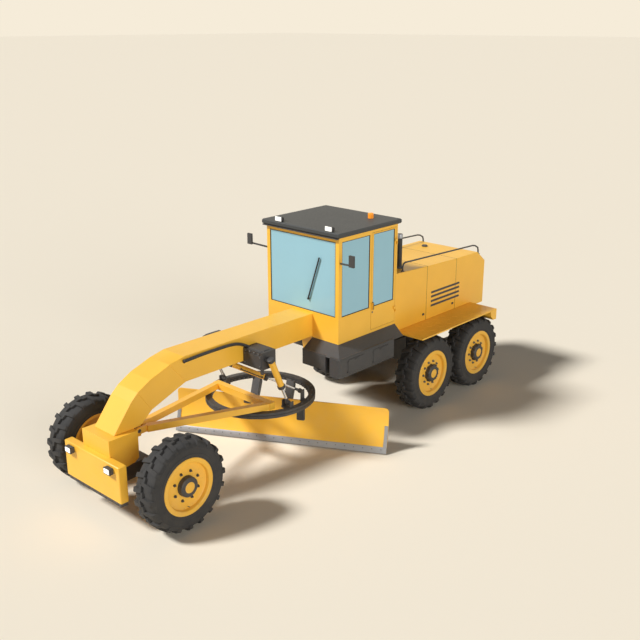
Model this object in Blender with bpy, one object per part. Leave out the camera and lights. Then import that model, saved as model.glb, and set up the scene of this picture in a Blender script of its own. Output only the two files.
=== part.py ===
"""Motor grader: rigid frame, tandem drive, drawbar-mounted blade, closed cab.

Frame: +Z up, the machine's front towards -Y, its left side towards +X, the
ground at z = 0. Sizes below are taken from the centre line; node() moves each
piece so that the origin lies on the ground under the middle of the whole
outline, MIDDLE. Metres throughout.
"""
import math

import bmesh
import bpy
from mathutils import Matrix, Vector

# ---------------------------------------------------------------- clearances
SEAT = 0.0003            # gap between two pieces that touch
PIN_GAP = 0.0005         # radial gap of a pin in its hole
RUN = 0.006              # gap beside a piece that moves past another
TURN_GAP = 0.0005        # extra gap over a round face whose axis is tilted a little
MIDDLE = (0.157, 1.907)  # middle of the outline seen from above

# -------------------------------------------------------------------- wheels
TYRE_R = 0.680
TYRE_W = 0.390
RIM_R = 0.405            # bead seat
FLANGE_R = 0.4217
WHEEL_X = 1.065          # middle plane of every tyre
WHEEL_SEG = 20
DISC_IN = 0.090          # back of the rim disc, out from the wheel's middle
DISC_T = 0.030
HUB_R = 0.150
HUB_OUT = 0.165
CAP_R = 0.078
CAP_OUT = 0.220
SPINDLE_R = 0.055
SPINDLE_OUT = 0.150

FRONT_Y = -1.700
REAR_Y = (3.914, 5.365)

# ---------------------------------------------------------------- front axle
KINGPIN_X = 1.060
KINGPIN_R = 0.025
KNUCKLE_R = 0.055
FORK_BACK = 0.080        # kingpin to the end of the axle beam
KNUCKLE_H = 0.240
FORK_T = 0.030
AXLE_D = 0.100           # fore and aft
AXLE_H = 0.200
ARM_L = 0.200            # steering arm behind the kingpin
ARM_T = 0.030
TIE_T = 0.036
TIE_PIN_R = 0.012

# ----------------------------------------------------------- beam and bolster
BEAM_HW = 0.2334
BEAM_TOP = 2.085
BEAM_BOT = 1.685
BOLSTER_HW = 0.320
BOLSTER_Y = (-2.304, -1.816)
BOLSTER_Z = (0.787, 1.266)
PLATE_HW = 0.6535
PLATE_Y = (-2.402, -2.268)
PLATE_Z = (0.467, 1.019)
STRIP_H = 0.060
LAMP_X = 0.470
LAMP_W = 0.140
LAMP_H = 0.095
LAMP_D = 0.078
LAMP_Z = 0.890

# ------------------------------------------------------------------- drawbar
BALL = (0.0, -1.640, 1.120)
SWIVEL_HW = 0.060
TRUNNION_R = 0.030
CHEEK_T = 0.040
CHEEK_H = 0.100
BAR_W = 0.110
CROSS_Y = 0.460
CROSS_X = 0.620
RING_C = (0.0, 0.835)
RING_R = 0.900
RING_IN = 0.800
GUIDE_Z = (0.897, 0.937)
RING_Z = (0.845, 0.890)
RING_SEG = 40

# --------------------------------------------------------------------- blade
BLADE_YAW = math.radians(28.6)
BLADE_L = 3.660
BLADE_S = 0.265          # middle of the blade, along it, from the ring centre
BLADE_T = 0.022
BLADE_PROFILE = ((0.105, 0.105), (0.175, 0.220), (0.222, 0.350),
                 (0.242, 0.480), (0.246, 0.610), (0.238, 0.740))
EDGE_T = 0.020
EDGE_Z = (0.020, 0.200)
ARM_S = 0.300            # circle arms, left and right of the ring centre
ARM_W = 0.130
TIP = (0.470, 0.480)     # tip axis, behind the ring centre and up
TIP_R = 0.030
RAIL_Z = (0.330, 0.600)
RAIL_H = 0.050
RAIL_WEB = 0.018
RAIL_T = 0.020
RAIL_BACK = 0.325

# ---------------------------------------------------------- saddle, cylinders
SADDLE_Y = (0.271, 0.556)
SADDLE_Z = (1.635, 1.915)
SADDLE_HW = 0.656
LIFT_TOP = (0.755, 0.360, 1.800)
LIFT_EYE = (0.745, 0.717, 1.000)
LIFT_R = 0.052
YOKE_R = 0.020
LUG_IN = 0.074           # half the space between the cheeks that hold a lift rod
LUG_OUT = 0.092
LIFT_ROD_R = 0.024
LIFT_BARREL = 0.560
LIFT_STROKE_IN = 0.210   # how far the rod can draw in from rest
SHIFT_TOP = (-0.130, 0.340, 1.520)
SHIFT_EYE = (0.660, 1.080, 1.060)
SHIFT_R = 0.045
SHIFT_YOKE_R = 0.022
SHIFT_STUB = 0.075       # foot of the saddle's stub above the shift cylinder's pin
SHIFT_ROD_R = 0.016
SHIFT_BARREL = 0.620
SHIFT_STROKE_IN = 0.120
BORE_GAP = 0.002         # rod in barrel

# ----------------------------------------------------------------------- cab
CAB_HW = 0.8114
CAB_Y = (1.833, 3.335)
CAB_Z = (1.672, 3.420)
CAB_WALL = 0.050
FLOOR_T = 0.030
ROOF_HW = 0.871
ROOF_Y = (1.763, 3.372)
ROOF_TOP = 3.535
WIND_HW = 0.740
GLASS_Z = (2.122, 3.374)
SIDE_GLASS_Y = (1.912, 2.607)
DOOR_Y = (2.652, 3.298)
DOOR_Z = (1.722, 3.400)
DOOR_GLASS_Y = (2.700, 3.255)
DOOR_T = 0.042
DOOR_GAP = 0.006
HINGE_R = 0.012
HINGE_OUT = 0.016
REAR_GLASS = (0.600, 2.680, 3.340)
GLASS_T = 0.008
ROOF_LAMP = (0.140, 1.790, 1.880, 0.080)     # width, front, back, height
ROOF_LAMP_X = (-0.500, 0.620)
BEACON = (0.455, 3.040, 0.045, 0.090)        # x, y, radius, height
TUNNEL_END = 2.300
CIRCLE_BAY = (0.745, 1.790, 1.272)           # room under the cab boxes for the raised circle

# --------------------------------------------------- chassis, deck and hood
CHASSIS_HW = 0.360
CHASSIS_TOP = 1.6717
DECK_HW = 1.2985
DECK_Y = (3.490, 5.872)
DECK_Z = (1.423, 1.450)
BUMPER_Z = 1.241
HOOD_HW = 0.7018
HOOD_WALL = 0.030
HOOD_Y0 = 3.345
HOOD_END = 6.295
HOOD_BOT = 1.370
HOOD_TOP = ((3.345, 2.523), (4.370, 2.476), (5.320, 2.438),
            (6.030, 2.434), (6.295, 2.227))
ENGINE = (0.380, 4.000, 5.500, 2.150)
STACK = (0.440, 3.880, 0.048, 3.117)
RAIL_X = 0.660
RAIL_R = 0.015

YELLOW = (0.86, 0.53, 0.08, 1.0)
DARK = (0.045, 0.045, 0.045, 1.0)
RUBBER = (0.035, 0.035, 0.035, 1.0)
STEEL = (0.45, 0.45, 0.45, 1.0)
CHROME = (0.75, 0.76, 0.78, 1.0)
GLASS = (0.38, 0.60, 0.66, 1.0)
WHITE = (0.85, 0.85, 0.85, 1.0)
AMBER = (0.95, 0.35, 0.05, 1.0)

FINISH = {
    "yellow": (YELLOW, 0.45, 0.0),
    "dark": (DARK, 0.55, 0.0),
    "rubber": (RUBBER, 0.85, 0.0),
    "steel": (STEEL, 0.40, 1.0),
    "chrome": (CHROME, 0.15, 1.0),
    "glass": (GLASS, 0.10, 0.0),
    "white": (WHITE, 0.30, 0.0),
    "amber": (AMBER, 0.30, 0.0),
}


# ------------------------------------------------------------------- shapes
def mesh_object(name, verts, faces):
    """One closed mesh as a scene object, with its faces turned outwards."""
    mesh = bpy.data.meshes.new(name)
    mesh.from_pydata([tuple(v) for v in verts], [], faces)
    bm = bmesh.new()
    bm.from_mesh(mesh)
    bmesh.ops.recalc_face_normals(bm, faces=bm.faces[:])
    bm.to_mesh(mesh)
    bm.free()
    obj = bpy.data.objects.new(name, mesh)
    bpy.context.scene.collection.objects.link(obj)
    return obj


def loft(rings, closed=False):
    """Skin a list of equal rings of points; the ends are capped unless closed."""
    count = len(rings[0])
    verts = [p for ring in rings for p in ring]
    faces = []
    spans = len(rings) if closed else len(rings) - 1
    for k in range(spans):
        a, b = k * count, ((k + 1) % len(rings)) * count
        for i in range(count):
            j = (i + 1) % count
            faces.append((a + i, a + j, b + j, b + i))
    if not closed:
        faces.append(tuple(range(count))[::-1])
        faces.append(tuple(range((len(rings) - 1) * count, len(rings) * count)))
    return mesh_object("shape", verts, faces)


def box(x, y, z):
    """Axis-aligned block from (low, high) pairs."""
    lower = [(x[0], y[0], z[0]), (x[1], y[0], z[0]), (x[1], y[1], z[0]), (x[0], y[1], z[0])]
    upper = [(x[0], y[0], z[1]), (x[1], y[0], z[1]), (x[1], y[1], z[1]), (x[0], y[1], z[1])]
    return loft([lower, upper])


def prism_x(outline, x0, x1):
    """Extrude a (y, z) outline along X."""
    return loft([[(x0, y, z) for y, z in outline], [(x1, y, z) for y, z in outline]])


def prism_y(outline, y0, y1):
    """Extrude an (x, z) outline along Y."""
    return loft([[(x, y0, z) for x, z in outline], [(x, y1, z) for x, z in outline]])


def prism_z(outline, z0, z1):
    """Extrude an (x, y) outline along Z."""
    return loft([[(x, y, z0) for x, y in outline], [(x, y, z1) for x, y in outline]])


def rod(start, end, radius, seg=12, end_radius=None):
    """Round bar between two points."""
    start, end = Vector(start), Vector(end)
    turn = (end - start).to_track_quat("Z", "Y").to_matrix()
    rings = []
    for point, r in ((start, radius), (end, radius if end_radius is None else end_radius)):
        rings.append([point + turn @ Vector((r * math.cos(2 * math.pi * i / seg),
                                             r * math.sin(2 * math.pi * i / seg), 0.0))
                      for i in range(seg)])
    return loft(rings)


def bar(start, end, width, height, up=(0, 0, 1)):
    """Square bar between two points; width is across, height is near up."""
    start, end, up = Vector(start), Vector(end), Vector(up)
    along = (end - start).normalized()
    side = along.cross(up).normalized()
    top = side.cross(along).normalized()
    rings = []
    for point in (start, end):
        rings.append([point + side * (sx * width / 2) + top * (sz * height / 2)
                      for sx, sz in ((-1, -1), (1, -1), (1, 1), (-1, 1))])
    return loft(rings)


def hole(radius, seg=12):
    """Radius of a faceted hole in which a round pin can turn."""
    return (radius + PIN_GAP) / math.cos(math.pi / seg)


def turned(profile, centre, side=1.0, seg=WHEEL_SEG):
    """Revolve a closed (radius, out) profile about the X axis through centre."""
    cx, cy, cz = centre
    rings = []
    for k in range(seg):
        angle = 2 * math.pi * k / seg
        rings.append([(cx + side * out, cy + r * math.cos(angle), cz + r * math.sin(angle))
                      for r, out in profile])
    return loft(rings, closed=True)


def turned_solid(profile, centre, side=1.0, seg=WHEEL_SEG):
    """Revolve an open profile whose first and last points lie on the axis."""
    cx, cy, cz = centre
    inner = profile[1:-1]
    verts = [(cx + side * profile[0][1], cy, cz), (cx + side * profile[-1][1], cy, cz)]
    for k in range(seg):
        angle = 2 * math.pi * k / seg
        verts += [(cx + side * out, cy + r * math.cos(angle), cz + r * math.sin(angle))
                  for r, out in inner]
    count = len(inner)
    faces = []
    for k in range(seg):
        a, b = 2 + k * count, 2 + ((k + 1) % seg) * count
        faces.append((0, a, b))
        faces.append((1, b + count - 1, a + count - 1))
        for i in range(count - 1):
            faces.append((a + i, a + i + 1, b + i + 1, b + i))
    return mesh_object("shape", verts, faces)


def ring_z(centre, inner, outer, z0, z1, seg=RING_SEG):
    """Flat ring about a vertical axis."""
    rings = []
    for k in range(seg):
        angle = 2 * math.pi * k / seg
        c, s = math.cos(angle), math.sin(angle)
        rings.append([(centre[0] + r * c, centre[1] + r * s, z)
                      for r, z in ((inner, z0), (outer, z0), (outer, z1), (inner, z1))])
    return loft(rings, closed=True)


def pipe(points, radius, seg=8):
    """Round pipe along points that lie in a plane of constant x."""
    points = [Vector(p) for p in points]
    rings = []
    for i, point in enumerate(points):
        before = points[max(i - 1, 0)]
        after = points[min(i + 1, len(points) - 1)]
        along = (after - before).normalized()
        side = Vector((1, 0, 0))
        other = along.cross(side).normalized()
        stretch = 1.0
        if 0 < i < len(points) - 1:
            bend = (point - before).normalized().dot((after - point).normalized())
            stretch = 1.0 / math.sqrt((1.0 + bend) / 2.0)
        rings.append([point + side * (radius * math.cos(2 * math.pi * k / seg))
                      + other * (radius * stretch * math.sin(2 * math.pi * k / seg))
                      for k in range(seg)])
    return loft(rings)


def combine(base, adds=(), cuts=()):
    """Boolean unions, then differences, applied to base; the tools are removed."""
    tools = []
    for operation, objects in (("UNION", adds), ("DIFFERENCE", cuts)):
        for other in objects:
            modifier = base.modifiers.new(operation.lower(), "BOOLEAN")
            modifier.operation = operation
            modifier.solver = "EXACT"
            modifier.object = other
            tools.append(other)
    graph = bpy.context.evaluated_depsgraph_get()
    mesh = bpy.data.meshes.new_from_object(base.evaluated_get(graph))
    base.modifiers.clear()
    base.data = mesh
    for other in tools:
        bpy.data.objects.remove(other)
    return base


def clean(mesh):
    """Weld points that a cut left on top of each other and dissolve slivers."""
    bm = bmesh.new()
    bm.from_mesh(mesh)
    bmesh.ops.remove_doubles(bm, verts=bm.verts[:], dist=0.00002)
    bmesh.ops.dissolve_limit(bm, angle_limit=0.0008, verts=bm.verts[:], edges=bm.edges[:])
    bmesh.ops.triangulate(bm, faces=bm.faces[:])
    bm.to_mesh(mesh)
    bm.free()


def node(name, shape, finish, pivot=(0.0, 0.0, 0.0), smooth=False):
    """Name a shape, move its origin onto pivot and give it its own material."""
    shape.name = name
    shape.data.name = name
    clean(shape.data)
    shape.data.transform(Matrix.Translation(-Vector(pivot)))
    shape.location = Vector(pivot) - Vector((*MIDDLE, 0.0))
    if smooth:
        shape.data.shade_smooth()
        shape.data.set_sharp_from_angle(angle=math.radians(40))
    colour, roughness, metallic = FINISH[finish]
    material = bpy.data.materials.new(name)
    material.use_nodes = True
    shader = material.node_tree.nodes["Principled BSDF"]
    shader.inputs["Base Color"].default_value = colour
    shader.inputs["Roughness"].default_value = roughness
    shader.inputs["Metallic"].default_value = metallic
    shape.data.materials.clear()
    shape.data.materials.append(material)
    return shape


# ------------------------------------------------------------------- wheels
def make_wheels():
    """Six tyres and six rims, each turned about its own axle."""
    half = TYRE_W / 2
    bead = half - 0.0275
    tyre = [(RIM_R, bead), (RIM_R + 0.025, bead), (RIM_R + 0.070, half),
            (TYRE_R - 0.080, half - 0.005), (TYRE_R - 0.020, half - 0.035), (TYRE_R, half - 0.075)]
    tyre = tyre + [(r, -out) for r, out in reversed(tyre)]
    seat = RIM_R - SEAT
    rim_half = half - 0.005
    flange = bead + SEAT
    wall = RIM_R - 0.025
    spindle_hole = hole(SPINDLE_R, WHEEL_SEG)
    rim = [(0.0, CAP_OUT), (CAP_R, CAP_OUT), (CAP_R, HUB_OUT), (HUB_R, HUB_OUT),
           (HUB_R, DISC_IN + DISC_T), (wall, DISC_IN + DISC_T), (wall, rim_half),
           (FLANGE_R, rim_half), (FLANGE_R, flange), (seat, flange),
           (seat, -flange), (FLANGE_R, -flange), (FLANGE_R, -rim_half), (wall, -rim_half),
           (wall, DISC_IN), (spindle_hole, DISC_IN),
           (spindle_hole, SPINDLE_OUT + SEAT), (0.0, SPINDLE_OUT + SEAT)]
    for place, y in (("front", FRONT_Y), ("mid", REAR_Y[0]), ("rear", REAR_Y[1])):
        for side_name, side in (("left", 1.0), ("right", -1.0)):
            centre = (side * WHEEL_X, y, TYRE_R)
            node(f"tyre_{place}_{side_name}", turned(tyre, centre, side), "rubber", centre, True)
            node(f"rim_{place}_{side_name}", turned_solid(rim, centre, side), "yellow", centre, True)


# --------------------------------------------------------------- front axle
def make_front_axle():
    """Axle beam with forked ends, two knuckles and the tie rod."""
    z = TYRE_R
    knuckle_z = (z - KNUCKLE_H / 2, z + KNUCKLE_H / 2)
    fork_in = KINGPIN_X - FORK_BACK
    fork_out = KINGPIN_X + KNUCKLE_R + 0.005
    axle = box((-fork_in, fork_in), (FRONT_Y - AXLE_D / 2, FRONT_Y + AXLE_D / 2),
               (z - AXLE_H / 2, z + AXLE_H / 2 - 0.010))
    adds = [box((-0.300, 0.300), (-2.200, FRONT_Y + AXLE_D / 2 + 0.020),
                (z - 0.120, BOLSTER_Z[0] - SEAT))]
    cuts = []
    for side in (-1, 1):
        inner = sorted((side * (fork_in - 0.050), side * fork_in))
        plate = sorted((side * (fork_in - 0.050), side * fork_out))
        depth = (FRONT_Y - AXLE_D / 2, FRONT_Y + AXLE_D / 2)
        adds.append(box(inner, depth, (knuckle_z[0] - FORK_T, knuckle_z[1] + FORK_T)))
        adds.append(box(plate, depth, (knuckle_z[1] + SEAT, knuckle_z[1] + FORK_T)))
        adds.append(box(plate, depth, (knuckle_z[0] - FORK_T, knuckle_z[0] - SEAT)))
        cuts.append(rod((side * KINGPIN_X, FRONT_Y, knuckle_z[0] - 0.1),
                        (side * KINGPIN_X, FRONT_Y, knuckle_z[1] + 0.1), hole(KINGPIN_R)))
    node("front_axle", combine(axle, adds, cuts), "dark")

    arm_z = (z - 0.080, z - 0.080 + ARM_T)
    tie_z = (arm_z[1] + SEAT, arm_z[1] + SEAT + TIE_T)
    for side_name, side in (("left", 1), ("right", -1)):
        x = side * KINGPIN_X
        block = rod((x, FRONT_Y, knuckle_z[0]), (x, FRONT_Y, knuckle_z[1]), KNUCKLE_R, 16)
        adds = [
            rod((x, FRONT_Y, knuckle_z[0] - FORK_T), (x, FRONT_Y, knuckle_z[1] + FORK_T), KINGPIN_R),
            rod((x, FRONT_Y, z), (side * (WHEEL_X + SPINDLE_OUT), FRONT_Y, z), SPINDLE_R, WHEEL_SEG),
            box((x - 0.022, x + 0.022), (FRONT_Y + 0.020, FRONT_Y + ARM_L + 0.025), arm_z),
            rod((x, FRONT_Y + ARM_L, arm_z[0] + 0.005), (x, FRONT_Y + ARM_L, tie_z[1]), TIE_PIN_R),
        ]
        node(f"knuckle_{side_name}", combine(block, adds), "dark", (x, FRONT_Y, z))
    y = FRONT_Y + ARM_L
    tie = box((-KINGPIN_X - 0.030, KINGPIN_X + 0.030), (y - TIE_T / 2, y + TIE_T / 2), tie_z)
    holes = [rod((s * KINGPIN_X, y, tie_z[0] - 0.1), (s * KINGPIN_X, y, tie_z[1] + 0.1),
                 hole(TIE_PIN_R)) for s in (-1, 1)]
    node("tie_rod", combine(tie, cuts=holes), "dark", (KINGPIN_X, y, tie_z[0]))


# --------------------------------------------------------- beam and bolster
def make_beam():
    """Gooseneck beam, its bolster, the front plate, push strip and headlamps."""
    foot = BOLSTER_Z[1] + SEAT
    outline = [(TUNNEL_END, BEAM_TOP), (-0.881, BEAM_TOP), (-1.140, 2.030), (-1.497, 1.905),
               (-1.718, 1.780), (-1.840, 1.670), (-2.160, foot), (-1.830, foot), (-1.676, 1.290),
               (-1.496, 1.445), (-0.865, BEAM_BOT), (1.950, BEAM_BOT), (2.040, 1.560),
               (2.100, 1.250), (TUNNEL_END, 1.250)]
    node("gooseneck_beam", prism_x(outline, -BEAM_HW, BEAM_HW), "yellow")

    low, high = BOLSTER_Z
    side = [(BOLSTER_Y[0], high), (BOLSTER_Y[0], low), (-2.008, low), (-1.896, low + 0.020),
            (-1.823, low + 0.070), (BOLSTER_Y[1], high)]
    bolster = prism_x(side, -BOLSTER_HW, BOLSTER_HW)
    hinge_y = (BOLSTER_Y[1] - 0.030, BALL[1] + 0.050)
    adds, cuts = [], []
    for sign in (-1, 1):
        near = BALL[2] + sign * (SWIVEL_HW + SEAT)
        far = BALL[2] + sign * (SWIVEL_HW + 0.035)
        adds.append(box((-0.070, 0.070), hinge_y, sorted((near, far))))
    cuts.append(box((-PLATE_HW, PLATE_HW), (-3.0, PLATE_Y[1] + SEAT), (0.3, PLATE_Z[1] + SEAT)))
    cuts.append(rod((BALL[0], BALL[1], BALL[2] - 0.15), (BALL[0], BALL[1], BALL[2] + 0.15),
                    hole(TRUNNION_R)))
    node("front_bolster", combine(bolster, adds, cuts), "yellow")

    strip = box((-PLATE_HW + 0.020, PLATE_HW - 0.020), (PLATE_Y[0] + 0.012, PLATE_Y[1]),
                (PLATE_Z[0] - STRIP_H, PLATE_Z[0] + 0.010))
    node("front_plate", combine(box((-PLATE_HW, PLATE_HW), PLATE_Y, PLATE_Z), [strip]), "yellow")
    for name, x in (("left", LAMP_X), ("right", -LAMP_X)):
        node(f"headlamp_{name}", box((x - LAMP_W / 2, x + LAMP_W / 2),
                                     (PLATE_Y[0] - SEAT - LAMP_D, PLATE_Y[0] - SEAT),
                                     (LAMP_Z, LAMP_Z + LAMP_H)), "dark")


# ------------------------------------------------------------------ drawbar
def blade_point(s, n, z):
    """Point s along the blade and n behind the ring centre, at height z."""
    c, k = math.cos(BLADE_YAW), math.sin(BLADE_YAW)
    return (RING_C[0] + s * c - n * k, RING_C[1] + s * k + n * c, z)


def blade_prism(section, s0, s1):
    """Extrude an (n, z) section along the blade."""
    return loft([[blade_point(s, n, z) for n, z in section] for s in (s0, s1)])


def blade_rod(s0, s1, n, z, radius, seg=12):
    """Round bar along the blade."""
    return rod(blade_point(s0, n, z), blade_point(s1, n, z), radius, seg)


def make_drawbar():
    """Swivel block, A-frame with its guide ring, and the turning circle."""
    bx, by, bz = BALL
    swivel = box((-SWIVEL_HW, SWIVEL_HW), (by - 0.045, by + 0.045), (bz - SWIVEL_HW, bz + SWIVEL_HW))
    adds = [rod((bx, by, bz - SWIVEL_HW - 0.035), (bx, by, bz + SWIVEL_HW + 0.035), TRUNNION_R),
            rod((-SWIVEL_HW - CHEEK_T, by, bz), (SWIVEL_HW + CHEEK_T, by, bz), TRUNNION_R)]
    node("drawbar_swivel", combine(swivel, adds), "dark", BALL)

    bar_z = GUIDE_Z[1] + SEAT + BAR_W / 2
    frame = bar((-CROSS_X - 0.045, CROSS_Y, bar_z), (CROSS_X + 0.045, CROSS_Y, bar_z), BAR_W, BAR_W)
    adds, cuts = [], []
    for side in (-1, 1):
        root = (side * (SWIVEL_HW + SEAT + CHEEK_T / 2), by + 0.140, bz)
        cheek = sorted((side * (SWIVEL_HW + SEAT), side * (SWIVEL_HW + SEAT + CHEEK_T)))
        adds.append(box(cheek, (by - 0.045, by + 0.200), (bz - CHEEK_H / 2, bz + CHEEK_H / 2)))
        adds.append(bar(root, (side * CROSS_X, CROSS_Y, bar_z), BAR_W * 0.9, BAR_W * 0.9))
    cuts.append(rod((-0.3, by, bz), (0.3, by, bz), hole(TRUNNION_R)))
    cuts.append(box((-SWIVEL_HW - SEAT, SWIVEL_HW + SEAT), (by - 0.2, by + 0.060), (bz - 0.2, bz + 0.2)))
    cuts.append(box((-2, 2), (-3, 3), (GUIDE_Z[0] - 0.3, GUIDE_Z[1] + SEAT)))
    node("drawbar", combine(frame, adds, cuts), "yellow", BALL)

    guide = ring_z(RING_C, RING_IN, RING_R, *GUIDE_Z)
    adds = []
    for side in (-1, 1):
        x, y, z = side * LIFT_EYE[0], LIFT_EYE[1], LIFT_EYE[2]
        for k in (-1, 1):
            cheek = sorted((x + k * LUG_IN, x + k * LUG_OUT))
            adds.append(box(cheek, (y - 0.040, y + 0.040), (GUIDE_Z[0] + 0.005, z + 0.030)))
        adds.append(box((x - LUG_OUT, x + LUG_OUT), (y - 0.050, y + 0.050),
                        (GUIDE_Z[0] + 0.004, GUIDE_Z[1] - 0.004)))
    ex, ey, ez = SHIFT_EYE
    adds.append(box((ex + 0.045, ex + 0.070), (ey - 0.035, ey + 0.035), (GUIDE_Z[0] + 0.006, ez + 0.030)))
    adds.append(box((ex + 0.045, ex + 0.170), (ey - 0.045, ey + 0.045), (GUIDE_Z[0] + 0.003, GUIDE_Z[1] - 0.003)))
    node("circle_guide", combine(guide, adds), "dark", BALL)

    ring = ring_z(RING_C, RING_IN, RING_R, *RING_Z)
    adds, cuts = [], []
    for side in (-1, 1):
        s0, s1 = side * ARM_S - ARM_W / 2, side * ARM_S + ARM_W / 2
        arm = [(0.735, RING_Z[1] - 0.004), (0.845, RING_Z[1] - 0.004), (0.835, 0.740),
               (0.560, 0.410), (0.415, 0.410), (0.405, 0.520), (0.520, 0.560)]
        adds.append(blade_prism(arm, s0, s1))
        cuts.append(blade_rod(s0 - 0.01, s1 + 0.01, TIP[0], TIP[1], hole(TIP_R)))
    node("circle", combine(ring, adds, cuts), "dark", (RING_C[0], RING_C[1], RING_Z[0]))


# -------------------------------------------------------------------- blade
def between(points, z):
    """First value of (value, z) points, read off at height z."""
    for (a, z0), (b, z1) in zip(points, points[1:]):
        if z0 <= z <= z1:
            return a + (b - a) * (z - z0) / (z1 - z0)
    return points[-1][0]


def make_blade():
    """Carrier on the tip axis, the curved blade with its rails, and its edge."""
    front = [p for p in BLADE_PROFILE]
    back = [(n + BLADE_T, z) for n, z in reversed(BLADE_PROFILE)]
    s0, s1 = BLADE_S - BLADE_L / 2, BLADE_S + BLADE_L / 2
    moldboard = blade_prism(front + back, s0, s1)
    adds = []
    for z in RAIL_Z:
        root = between(BLADE_PROFILE, z) + BLADE_T / 2
        adds.append(blade_prism([(root, z - RAIL_WEB / 2), (RAIL_BACK - RAIL_T, z - RAIL_WEB / 2),
                                 (RAIL_BACK - RAIL_T, z - RAIL_H / 2), (RAIL_BACK, z - RAIL_H / 2),
                                 (RAIL_BACK, z + RAIL_H / 2), (RAIL_BACK - RAIL_T, z + RAIL_H / 2),
                                 (RAIL_BACK - RAIL_T, z + RAIL_WEB / 2), (root, z + RAIL_WEB / 2)],
                                s0 + 0.30, s1 - 0.30))
    pivot = blade_point(0.0, TIP[0], TIP[1])
    node("moldboard", combine(moldboard, adds), "yellow", pivot)

    gap = 0.0006
    back_n = RAIL_BACK + gap
    outer = back_n + 0.045
    lip = RAIL_BACK - RAIL_T - gap
    half = RAIL_H / 2
    section = [(outer, RAIL_Z[1] + half + 0.022), (outer, RAIL_Z[0] - half - 0.022)]
    for z in RAIL_Z:
        for k in (-1, 1):
            claw = [(lip - 0.016, z + k * (half + 0.022)), (lip - 0.016, z + k * 0.014),
                    (lip, z + k * 0.014), (lip, z + k * (half + gap)), (back_n, z + k * (half + gap))]
            if k > 0:
                claw.reverse()
            section += claw
        if z == RAIL_Z[0]:
            section += [(back_n, z + half + 0.022)]
            section += [(back_n, RAIL_Z[1] - half - 0.022)]
    spine = blade_prism(section, -0.470, 0.470)
    adds = []
    for side in (-1, 1):
        inner = side * (ARM_S + ARM_W / 2 + SEAT)
        outside = side * (ARM_S + ARM_W / 2 + 0.050)
        ear = [(outer - 0.020, TIP[1] - 0.055), (TIP[0] + 0.055, TIP[1] - 0.055),
               (TIP[0] + 0.055, TIP[1] + 0.055), (outer - 0.020, TIP[1] + 0.055)]
        adds.append(blade_prism(ear, *sorted((inner, outside))))
        adds.append(blade_rod(side * (ARM_S - ARM_W / 2), outside - side * 0.002, TIP[0], TIP[1], TIP_R))
    node("blade_carrier", combine(spine, adds), "dark", pivot)

    n0 = BLADE_PROFILE[0][0]
    edge = [(n0 - EDGE_T - 0.040, EDGE_Z[0]), (n0 - 0.030, EDGE_Z[0]), (n0 - SEAT, BLADE_PROFILE[0][1]),
            (BLADE_PROFILE[0][0] + 0.058 - SEAT, EDGE_Z[1]), (BLADE_PROFILE[0][0] + 0.045, EDGE_Z[1] + 0.010),
            (n0 - EDGE_T, BLADE_PROFILE[0][1])]
    node("cutting_edge", blade_prism(edge, s0 + 0.002, s1 - 0.002), "steel", pivot)


# -------------------------------------------------------- saddle, cylinders
def make_cylinders():
    """Lift saddle with two lift cylinders and the side-shift cylinder of the circle."""
    strap_z = (BEAM_BOT - SEAT - 0.060, BEAM_BOT - SEAT)
    saddle = box((-SADDLE_HW + 0.1, SADDLE_HW - 0.1), (SADDLE_Y[0] + 0.02, SADDLE_Y[1] - 0.02), strap_z)
    adds = []
    for side in (-1, 1):
        x = sorted((side * (BEAM_HW + SEAT), side * SADDLE_HW))
        adds.append(box(x, SADDLE_Y, SADDLE_Z))
    tx, ty, tz = SHIFT_TOP
    yoke_x = LIFT_TOP[0] - LIFT_R - SEAT - YOKE_R
    for side in (-1, 1):
        adds.append(rod((side * (SADDLE_HW - 0.02), LIFT_TOP[1], LIFT_TOP[2]),
                        (side * (yoke_x - YOKE_R - SEAT), LIFT_TOP[1], LIFT_TOP[2]), 0.050, 16))
    adds.append(rod((tx, ty, tz + SHIFT_STUB), (tx, ty, strap_z[0] + 0.010), 0.040, 16))
    node("lift_saddle", combine(saddle, adds), "dark")

    for side_name, side in (("left", 1), ("right", -1)):
        top = Vector((side * LIFT_TOP[0], LIFT_TOP[1], LIFT_TOP[2]))
        eye = Vector((side * LIFT_EYE[0], LIFT_EYE[1], LIFT_EYE[2]))
        make_cylinder(f"lift_{side_name}", top, eye, LIFT_R, LIFT_ROD_R, LIFT_BARREL,
                      LIFT_STROKE_IN, (side * yoke_x, top.y, top.z))
    top, eye = Vector(SHIFT_TOP), Vector(SHIFT_EYE)
    make_cylinder("shift", top, eye, SHIFT_R, SHIFT_ROD_R, SHIFT_BARREL, SHIFT_STROKE_IN, None)


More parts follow.
